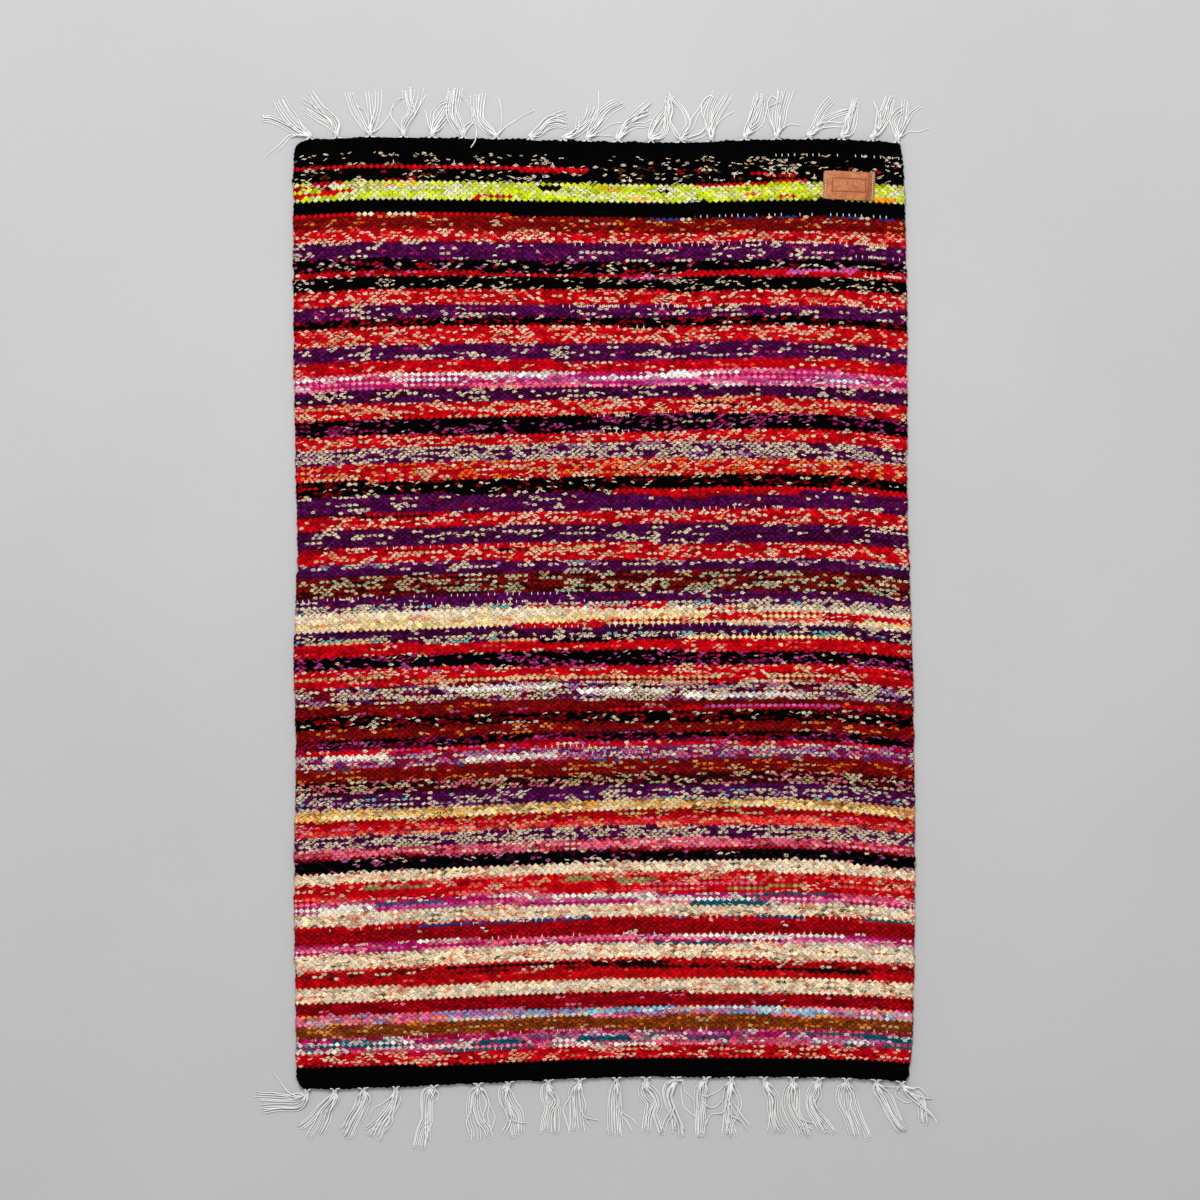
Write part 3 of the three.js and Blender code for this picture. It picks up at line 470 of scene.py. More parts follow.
# The yarn of every bead. Past the first thirty picks a stripe changes over at a place somewhere across, where
# one yarn ran out and the next was laid in. The chart's first pick is partly turned under at the upper end.
TURNED_UNDER = 0.7
CHANGEOVER = 0.45
STRAIGHT_UNTIL = 30
SHORTEST_RUN = 4
FLECKS_LEFT_ON_RUN = 0.3
plan_row = rows - TURNED_UNDER
ground = np.zeros((PICKS + 1, WARP_GAPS + 1, 3))
fleck = np.zeros((PICKS + 1, WARP_GAPS + 1, 3))
fleck_share = np.zeros((PICKS + 1, WARP_GAPS + 1))
unevenness = np.zeros((PICKS + 1, WARP_GAPS + 1))
gathering = np.zeros((PICKS + 1, WARP_GAPS + 1))
above = np.full(WARP_GAPS + 1, -1.0)
for end, ground_yarn, flecks, uneven, gather in STRIPES:
    changeover = rng.uniform(0.1, 0.9) * WARP_GAPS
    below = end + CHANGEOVER * np.sign(columns - changeover) * (STRAIGHT_UNTIL < end < PICKS)
    inside = (plan_row[:, None] >= above[None, :]) & (plan_row[:, None] < below[None, :])
    above = below
    here = np.nonzero(inside.any(1))[0]
    share = sum(flecks.values())
    names = list(flecks)
    for row in here:
        on = np.nonzero(inside[row])[0]
        if isinstance(ground_yarn, tuple):
            place = -rng.integers(0, 2 * RUN_OF_BEADS)
            run_colours = np.zeros((WARP_GAPS + 1, 3))
            while place <= WARP_GAPS:
                run = int(rng.integers(SHORTEST_RUN, 4 * RUN_OF_BEADS))
                yarn = ground_yarn[rng.integers(len(ground_yarn))]
                run_colours[max(place, 0):max(place + run, 0)] = linear(YARNS[yarn])
                place += run
            ground[row, on] = run_colours[on]
        else:
            ground[row, on] = linear(YARNS[ground_yarn])
        if names:
            weights = np.array([flecks[name] for name in names]) / share
            place = -rng.integers(0, FLECK_REACH)
            while place <= WARP_GAPS:
                run = int(rng.integers(1, 2 * FLECK_REACH + 1))
                name = names[rng.choice(len(names), p=weights)]
                stretch = on[(on >= place) & (on < place + run)]
                fleck[row, stretch] = linear(YARNS[name])
                place += run
        fleck_share[row, on] = share
        unevenness[row, on] = uneven
        gathering[row, on] = gather

for first_place, first_pick, last_place, last_pick, height, yarn in SINGLE_RUNS:
    across = 100 * columns / WARP_GAPS
    t = np.clip((across - first_place) / (last_place - first_place), 0, 1)
    line = first_pick + (last_pick - first_pick) * t
    on_run = (across >= first_place) & (across <= last_place)
    inside = on_run[None, :] & (np.abs(plan_row[:, None] - line[None, :]) <= 0.5 * height)
    ground[inside] = linear(YARNS[yarn])
    fleck_share[inside] *= FLECKS_LEFT_ON_RUN

# Both strands of a bead may have a fleck. Unevenly mixed yarn has flecks on fewer beads, and larger ones. A
# bead whose noise is past a limit has some, and NOISE_TO_SHARE turns the share of such beads into that limit.
WHOLE_BEADS = 4
GATHERING_STRENGTH = 0.75
NOISE_TO_SHARE = 1.702
FLECK_WIDTH = 1.1
FLECK_HEIGHT = 0.25
FLECK_CHANCE = 1.15
NO_FLECK = (0.01, 0.01, 0)
clusters = bead_noise(5, 0.9)
singles = bead_noise(0.6, 0)
gathering = GATHERING_STRENGTH * gathering
mixed = gathering * clusters + np.sqrt(1 - gathering**2) * singles
share = np.clip(fleck_share, 0.001, 0.95)
flecked_beads = share ** (unevenness / WHOLE_BEADS)
limit = np.log((1 - flecked_beads) / flecked_beads + 1e-6) / NOISE_TO_SHARE
of_bead = share / flecked_beads
fleck_shape = rng.uniform(0.75, 1.35, share.shape)
fleck_reach = of_bead**0.25 * rng.uniform(0.7, 1.3, share.shape)
fleck_size = np.stack([
    FLECK_WIDTH * fleck_reach * fleck_shape,
    FLECK_WIDTH * FLECK_HEIGHT * fleck_reach / fleck_shape,
    FLECK_CHANCE * np.sqrt(of_bead),
], -1)
fleck_size[(mixed < limit) | (fleck_share == 0)] = NO_FLECK

# The dye takes a little unevenly from bead to bead, and along a pick.
fleck_shade = 1 + 0.14 * bead_noise(0.5, 0)
fleck = fleck * np.clip(fleck_shade, 0.5, 1.15)[..., None]
ground_shade = 1 + 0.2 * bead_noise(0.5, 0) + 0.06 * bead_noise(30, 0.5)
ground = ground * np.clip(ground_shade, 0.45, 1.5)[..., None]
warp_shows = np.zeros((PICKS + 1, WARP_GAPS + 1, 3))
for pick, first_place, last_place, often in WARP_SHOWS:
    row = round(pick + TURNED_UNDER)
    first_warp = round(first_place * WARP_GAPS)
    last_warp = round(last_place * WARP_GAPS)
    warp_shows[row - 1:row + 2, first_warp:last_warp] = (row, often, 0)


def piece_from(name, points, triangles):
    """A smooth piece made of these points and triangles."""
    mesh = bpy.data.meshes.new(name)
    mesh.vertices.add(len(points))
    mesh.vertices.foreach_set("co", points.astype(np.float32).ravel())
    mesh.loops.add(3 * len(triangles))
    mesh.loops.foreach_set("vertex_index", triangles.astype(np.int32).ravel())
    mesh.polygons.add(len(triangles))
    mesh.polygons.foreach_set("loop_start", np.arange(0, 3 * len(triangles), 3, dtype=np.int32))
    mesh.update(calc_edges=True)
    mesh.polygons.foreach_set("use_smooth", np.ones(len(triangles), bool))
    piece = bpy.data.objects.new(name, mesh)
    bpy.context.scene.collection.objects.link(piece)
    return piece


woven_body = piece_from("woven_body", points, triangles)

# The weave map counts warps across and picks down. The bake map lays the top and, at a smaller scale, the
# underside side by side, with the cloth's length across the map.
MAP_MARGIN = 0.01
TOP_LENGTH_ON_MAP = 0.98
TOP_WIDTH_ON_MAP = 0.64
UNDERSIDE_LENGTH_ON_MAP = 0.55
UNDERSIDE_WIDTH_ON_MAP = 0.32
UNDERSIDE_FROM = 0.67


def fill_map(piece, name, first, second):
    """Adds a map to the piece, with both places of every corner."""
    new_map = piece.data.uv_layers.new(name=name)
    new_map.data.foreach_set("uv", np.stack([first, second], -1).astype(np.float32).ravel())


warp_number = np.r_[np.tile(columns, PICKS + 1), np.broadcast_to(low_columns, on_rim.shape)[~on_rim]]
pick_number = np.r_[np.repeat(rows, WARP_GAPS + 1), np.broadcast_to(low_rows[:, None], on_rim.shape)[~on_rim]]
warp_of_corner = warp_number[triangles.ravel()]
pick_of_corner = pick_number[triangles.ravel()]
fill_map(woven_body, "weave", warp_of_corner, pick_of_corner)
is_below = np.repeat(np.arange(len(triangles)) >= len(triangles) - len(low_triangles), 3)
length_on_map = np.where(is_below, UNDERSIDE_LENGTH_ON_MAP, TOP_LENGTH_ON_MAP)
width_on_map = np.where(is_below, UNDERSIDE_WIDTH_ON_MAP, TOP_WIDTH_ON_MAP)
from_edge = np.where(is_below, UNDERSIDE_FROM, MAP_MARGIN)
fill_map(woven_body, "OFBake", MAP_MARGIN + length_on_map * pick_of_corner / PICKS,
         from_edge + width_on_map * warp_of_corner / WARP_GAPS)

bead_of_corner = np.repeat(bead_of, 3)
for name, values in (("ground_yarn", ground), ("fleck_yarn", fleck), ("fleck_size", fleck_size),
                     ("warp_shows", warp_shows)):
    attribute = woven_body.data.attributes.new(name, "FLOAT_VECTOR", "CORNER")
    attribute.data.foreach_set("vector", values.reshape(-1, 3)[bead_of_corner].astype(np.float32).ravel())


class Nodes:
    """Builds a material node by node."""

    def __init__(self, name):
        self.material = bpy.data.materials.new(name)
        self.material.use_nodes = True
        self.tree = self.material.node_tree
        self.shader = self.tree.nodes["Principled BSDF"]

    def set(self, socket, value):
        if isinstance(value, bpy.types.NodeSocket):
            self.tree.links.new(value, socket)
        elif value is not None:
            socket.default_value = value

    def add(self, kind, inputs=(), **settings):
        node = self.tree.nodes.new(kind)
        for key, value in settings.items():
            setattr(node, key, value)
        for key, value in dict(inputs).items():
            self.set(node.inputs[key], value)
        return node

    def attribute(self, name):
        return self.add("ShaderNodeAttribute", attribute_name=name).outputs["Vector"]

    def dice(self, x, y, z=0.0):
        place = self.join(x, y, z)
        return self.add("ShaderNodeTexWhiteNoise", {"Vector": place}, noise_dimensions="3D").outputs["Color"]

    def parts(self, vector):
        return self.add("ShaderNodeSeparateXYZ", {"Vector": vector}).outputs

    def math(self, operation, first, second=None, third=None):
        node = self.add("ShaderNodeMath", operation=operation)
        for socket, value in zip(node.inputs, (first, second, third)):
            self.set(socket, value)
        return node.outputs[0]

    def plus(self, first, second):
        return self.math("ADD", first, second)

    def minus(self, first, second):
        return self.math("SUBTRACT", first, second)

    def times(self, first, second):
        return self.math("MULTIPLY", first, second)

    def times_plus(self, first, second, third):
        return self.math("MULTIPLY_ADD", first, second, third)

    def size(self, value):
        return self.math("ABSOLUTE", value)

    def oval(self, x, y, half_width, half_height):
        """How far out a place lies from the middle of an oval, squared, with 1 on its rim."""
        squared_x = self.math("POWER", self.size(self.math("DIVIDE", x, half_width)), 2.0)
        squared_y = self.math("POWER", self.size(self.math("DIVIDE", y, half_height)), 2.0)
        return self.plus(squared_x, squared_y)

    def grey(self, tone):
        return self.join(tone, tone, tone)

    def surface(self, colour, roughness, specular=0.5):
        """Gives the material its colour, how rough it is and how much it shines, and hands it back."""
        self.set(self.shader.inputs["Base Color"], colour)
        self.shader.inputs["Roughness"].default_value = roughness
        self.shader.inputs["Specular IOR Level"].default_value = specular
        return self.material

    def mix(self, share, first, second, blend="MIX"):
        node = self.add("ShaderNodeMix", data_type="RGBA", blend_type=blend)
        for place, value in ((0, share), (6, first), (7, second)):
            self.set(node.inputs[place], value)
        return node.outputs[2]

    def ramp(self, value, low, high, to_low=0.0, to_high=1.0):
        node = self.add("ShaderNodeMapRange", interpolation_type="SMOOTHSTEP")
        for place, given in enumerate((value, low, high, to_low, to_high)):
            self.set(node.inputs[place], given)
        return node.outputs[0]

    def join(self, x, y, z=0.0):
        node = self.add("ShaderNodeCombineXYZ")
        for socket, value in zip(node.inputs, (x, y, z)):
            self.set(socket, value)
        return node.outputs[0]

    def noise(self, vector, scale, detail=0.0, roughness=0.5):
        inputs = {"Vector": vector, "Scale": scale, "Detail": detail, "Roughness": roughness}
        return self.add("ShaderNodeTexNoise", inputs).outputs["Fac"]

    def bump(self, height, distance):
        node = self.add("ShaderNodeBump", {"Height": height, "Distance": distance, "Strength": 0.5})
        self.set(self.shader.inputs["Normal"], node.outputs["Normal"])


def paint(colour):
    """A daylight colour out of 255 as a shader's colour."""
    return (*linear(colour), 1)


# What one bead shows, in warps across and picks down from its middle.
BEAD_HALF_WIDTH = 0.97
BEAD_HALF_HEIGHT = 0.66
FLECK_FROM_MIDDLE = -0.34
DASH_HALF_WIDTH = 0.12
DASH_HALF_HEIGHT = 0.55
# How much painted shade darkens the hollows between the beads.
HOLLOW_SHADE = (0.85, 0.85, 0.85, 1)
WARP_COLOUR = (236, 226, 214)


def weave_material():
    """Mixed cotton yarns. Each bead has its ground yarn and slanted flecks of the yarn twisted with it, with
    painted shade in the hollows between the beads.
    """
    nodes = Nodes("woven cotton")
    warp, pick, _ = nodes.parts(nodes.add("ShaderNodeUVMap", uv_map="weave").outputs[0])
    half_sum = nodes.math("ROUND", nodes.times(nodes.plus(warp, pick), 0.5))
    half_gap = nodes.math("ROUND", nodes.times(nodes.minus(warp, pick), 0.5))
    bead_warp = nodes.plus(half_sum, half_gap)
    bead_pick = nodes.minus(half_sum, half_gap)
    across = nodes.minus(warp, bead_warp)
    down = nodes.minus(pick, bead_pick)
    bead_number = nodes.plus(nodes.times(bead_warp, 3.17), nodes.times(bead_pick, 7.31))
    ragged_place = nodes.join(nodes.times(across, 3.2), nodes.times(down, 4.2), bead_number)
    ragged = nodes.noise(ragged_place, 1.0, 1.0)
    oval = nodes.oval(across, down, BEAD_HALF_WIDTH, BEAD_HALF_HEIGHT)

    # A pick is two strands side by side at a slant. Each may have a ragged fleck somewhere on the bead.
    lean = nodes.parts(nodes.dice(bead_warp, bead_pick))[0]
    slanted = nodes.times_plus(nodes.times_plus(lean, 1.1, -0.45), across, down)
    strand = nodes.math("GREATER_THAN", slanted, 0.0)
    strand_dice = nodes.dice(bead_warp, bead_pick, nodes.plus(strand, 0.5))
    shift_across, shift_down, chance = nodes.parts(strand_dice)
    width, height, often = nodes.parts(nodes.attribute("fleck_size"))
    fleck_across = nodes.plus(across, nodes.times_plus(shift_across, 1.0, -0.5))
    fleck_down = nodes.plus(nodes.size(slanted), nodes.times_plus(shift_down, 0.2, FLECK_FROM_MIDDLE))
    from_fleck = nodes.oval(fleck_across, fleck_down, width, height)
    from_fleck = nodes.plus(from_fleck, nodes.times_plus(ragged, 9.0, -4.5))
    has_fleck = nodes.math("LESS_THAN", chance, often)
    is_fleck = nodes.times(nodes.ramp(from_fleck, 0.85, 1.15, 1.0, 0.0), has_fleck)
    colour = nodes.mix(is_fleck, nodes.attribute("ground_yarn"), nodes.attribute("fleck_yarn"))

    # Fibres along each pick, and painted shade in the hollows between the beads.
    fibre_slant = nodes.times_plus(across, 2.2, nodes.times(down, 7.0))
    fibre_place = nodes.join(nodes.times(across, 2.4), fibre_slant, bead_number)
    fibres = nodes.noise(fibre_place, 1.0, 2.0, 0.6)
    colour = nodes.mix(1.0, colour, nodes.grey(nodes.ramp(fibres, 0.38, 0.62, 0.45, 1.42)), "MULTIPLY")
    # Painted shade in the hollows: the colour times itself and times HOLLOW_SHADE, deepest towards each
    # bead's rim.
    shaded = nodes.mix(1.0, colour, HOLLOW_SHADE, "MULTIPLY")
    painted_hollow_shade = nodes.mix(1.0, colour, shaded, "MULTIPLY")
    ragged_oval = nodes.plus(oval, nodes.times_plus(ragged, 5.0, -2.5))
    colour = nodes.mix(nodes.ramp(ragged_oval, 0.4, 1.05), colour, painted_hollow_shade)

    # Pale warp that shows as a short upright dash in a hollow between four beads.
    hollow_sum = nodes.math("ROUND", nodes.times_plus(nodes.plus(warp, pick), 0.5, 0.5))
    hollow_gap = nodes.math("ROUND", nodes.times_plus(nodes.minus(warp, pick), 0.5, 0.5))
    hollow_warp = nodes.minus(nodes.plus(hollow_sum, hollow_gap), 1.0)
    hollow_pick = nodes.minus(hollow_sum, hollow_gap)
    beside = nodes.minus(warp, hollow_warp)
    above = nodes.minus(pick, hollow_pick)
    dash = nodes.oval(beside, above, DASH_HALF_WIDTH, DASH_HALF_HEIGHT)
    in_dash = nodes.math("LESS_THAN", dash, 1.0)
    chance = nodes.parts(nodes.dice(hollow_warp, hollow_pick, 2.5))[0]
    open_pick, often, _ = nodes.parts(nodes.attribute("warp_shows"))
    on_row = nodes.math("COMPARE", hollow_pick, open_pick, 0.5)
    shows = nodes.times(nodes.times(in_dash, on_row), nodes.math("LESS_THAN", chance, often))
    colour = nodes.mix(shows, colour, paint(WARP_COLOUR))

    twist_slant = nodes.times_plus(across, 1.5, nodes.times(down, 2.0))
    twist = nodes.math("SINE", nodes.times(twist_slant, 3.6))
    dome = nodes.math("SQRT", nodes.math("MAXIMUM", nodes.times_plus(oval, -0.8, 1.0), 0.0))
    nodes.bump(nodes.times_plus(dome, 1.6, nodes.times_plus(twist, 0.2, fibres)), 0.0005)
    return nodes.surface(colour, roughness=0.95, specular=0.03)


woven_body.data.materials.append(weave_material())
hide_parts("rug_body")
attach(woven_body, "root")

# The tassels
# The mat's own warp ends, ten to twelve to a bunch, tied in one knot against the last weft so that it can't
# work loose. Each end is two-ply cotton, cut square and beginning to fray. They lie loose on the floor, over
# and under each other, and near the knot the next warps run in along the cloth's edge.

GRID_STEP = 0.00097
YARN_RADIUS = 0.00057
YARN_STEP = 0.0015
YARN_SIDES = 6
YARN_PITCH = 1.35
KNOT_OUT = 0.0024
KNOT_HEIGHT = 0.0026
BUNCH_TOP = 0.0042
PILE_CELL = 0.0004

# Each tassel from left to right: its knot's place across in millimetres, then its locks. A lock has its
# number of yarns, the spread of their tips and the points that it runs through, across from the knot and out
# from the cloth's end, in steps of the grid that was laid over the photo to read them off.
TOP_TASSELS = (
    (-285, (5, 6, (-10, 7), (-25, 15), (-38, 21), (-46, 22)),
     (3, 5, (-10, 9), (-22, 19), (-30, 31), (-34, 39)), (3, 5, (-7, 11), (-15, 22), (-22, 32), (-27, 42)),
     (1, 0, (-10, 4), (-22, 4), (-33, -6), (-45, -16)), (1, 0, (-10, 5), (-20, 3), (-26, -4), (-32, -10))),
    (-259, (4, 5, (-7, 13), (-19, 21), (-32, 30)), (2, 3, (-5, 16), (-19, 28), (-34, 39)),
     (5, 7, (-2, 16), (-15, 29), (-26, 45))),
    (-227, (4, 8, (-7, 11), (-16, 28), (-21, 43)), (1, 0, (-3, 20), (-6, 27), (-11, 30)),
     (3, 5, (1, 16), (0, 29), (-2, 44)), (3, 6, (5, 18), (8, 31), (8, 45)),
     (1, 0, (10, 9), (18, 18), (23, 28), (31, 37))),
    (-195, (5, 9, (3, 14), (9, 24), (5, 36), (4, 48)), (3, 8, (3, 13), (10, 26), (14, 38), (16, 48)),
     (1, 0, (-6, 12), (-12, 20), (-11, 30), (-6, 37), (0, 39)), (1, 0, (8, 16), (15, 29), (22, 41))),
    (-167, (5, 8, (4, 11), (12, 24), (18, 36), (21, 48)), (2, 3, (0, 17), (1, 25), (8, 33), (15, 36)),
     (3, 5, (8, 12), (16, 23), (21, 34), (25, 42)), (1, 0, (-3, 12), (-6, 25))),
    (-136, (4, 6, (-8, 10), (-14, 21), (-14, 33), (-12, 44)),
     (4, 7, (-3, 11), (-8, 24), (-7, 36), (-5, 49)), (2, 2, (2, 11), (8, 16), (9, 26), (5, 34), (-3, 44)),
     (1, 0, (6, 12), (11, 15), (13, 6), (12, -3), (8, -10))),
    (-104, (4, 7, (-12, 11), (-20, 21), (-22, 32), (-22, 42)),
     (4, 6, (-9, 11), (-15, 20), (-15, 31), (-13, 43)), (1, 0, (3, 9), (5, 20), (5, 30), (3, 40)),
     (1, 0, (6, 9), (18, 19), (28, 25), (36, 29))),
    (-72, (4, 5, (10, 7), (18, 13), (27, 16), (38, 14)), (4, 6, (10, 11), (18, 19), (27, 22), (36, 20)),
     (2, 4, (8, 11), (17, 21), (26, 26), (34, 29))),
    (-40, (4, 6, (12, 9), (21, 19), (25, 27), (27, 34)), (4, 6, (12, 7), (25, 17), (31, 24), (34, 31)),
     (2, 3, (9, 5), (14, 12), (15, 22))),
    (-17, (4, 7, (5, 13), (13, 26), (22, 35), (32, 40)), (1, 0, (3, 13), (11, 27), (13, 37), (13, 48)),
     (3, 4, (8, 11), (17, 22), (26, 31), (37, 37)), (1, 0, (8, 5), (17, 6), (25, 5)),
     (1, 0, (8, 7), (23, 17), (35, 20))),
    (13, (5, 6, (5, 11), (13, 21), (23, 31), (32, 39)), (3, 3, (8, 11), (18, 16), (28, 17), (38, 22)),
     (3, 4, (10, 18), (20, 25), (31, 29))),
    (45, (6, 6, (2, 11), (8, 22), (16, 34), (20, 47)),
     (4, 4, (5, 4), (13, 8), (16, 16), (17, 27), (18, 41))),
    (74, (3, 4, (3, 9), (9, 18), (4, 31), (-5, 41), (-10, 49)),
     (3, 3, (-5, 11), (-11, 21), (-9, 32), (-11, 46)), (3, 5, (9, 4), (20, 7), (28, 14)),
     (2, 3, (10, 14), (14, 24), (20, 33), (25, 41))),
    (104, (4, 8, (-3, 14), (-3, 27), (1, 39), (5, 47)), (5, 8, (1, 15), (6, 27), (12, 36), (18, 45)),
     (1, 0, (-6, 16), (-10, 30), (-8, 41), (-1, 46), (3, 43)), (1, 0, (6, 16), (12, 22), (21, 27))),
    (136, (5, 9, (4, 11), (9, 25), (12, 35), (14, 45)),
     (3, 5, (6, 9), (12, 13), (17, 18), (20, 30), (21, 40)), (3, 5, (3, 10), (7, 20), (11, 30), (17, 41))),
    (167, (4, 5, (0, 13), (0, 26), (3, 38), (4, 49)), (4, 7, (4, 14), (7, 28), (10, 39), (13, 48)),
     (1, 0, (-4, 12), (-8, 22), (-10, 31), (-4, 35), (2, 37)),
     (1, 0, (-6, 20), (-9, 34), (-6, 42), (-2, 43), (3, 37)), (1, 0, (6, 11), (14, 15), (23, 14))),
    (198, (4, 8, (6, 11), (10, 22), (16, 31), (23, 39)), (4, 5, (10, 11), (17, 19), (29, 25), (41, 29)),
     (2, 5, (12, 12), (24, 14), (36, 14), (41, 22))),
    (230, (6, 7, (8, 9), (12, 21), (13, 30), (15, 40)), (4, 4, (5, 11), (6, 19), (10, 29), (14, 37))),
    (259, (4, 5, (6, 12), (10, 26), (15, 38), (17, 45)), (4, 6, (9, 12), (17, 26), (19, 36), (22, 44)),
     (1, 0, (6, 10), (7, 18), (7, 27), (2, 38)), (2, 4, (7, 14), (8, 24), (9, 33))),
    (284, (4, 7, (4, 13), (8, 26), (9, 35), (10, 43)), (2, 3, (6, 13), (12, 26), (17, 32), (24, 37)),
     (3, 6, (-1, 11), (-5, 21), (0, 29), (7, 34)), (1, 0, (6, 8), (13, 12), (21, 11), (31, 14))),
)
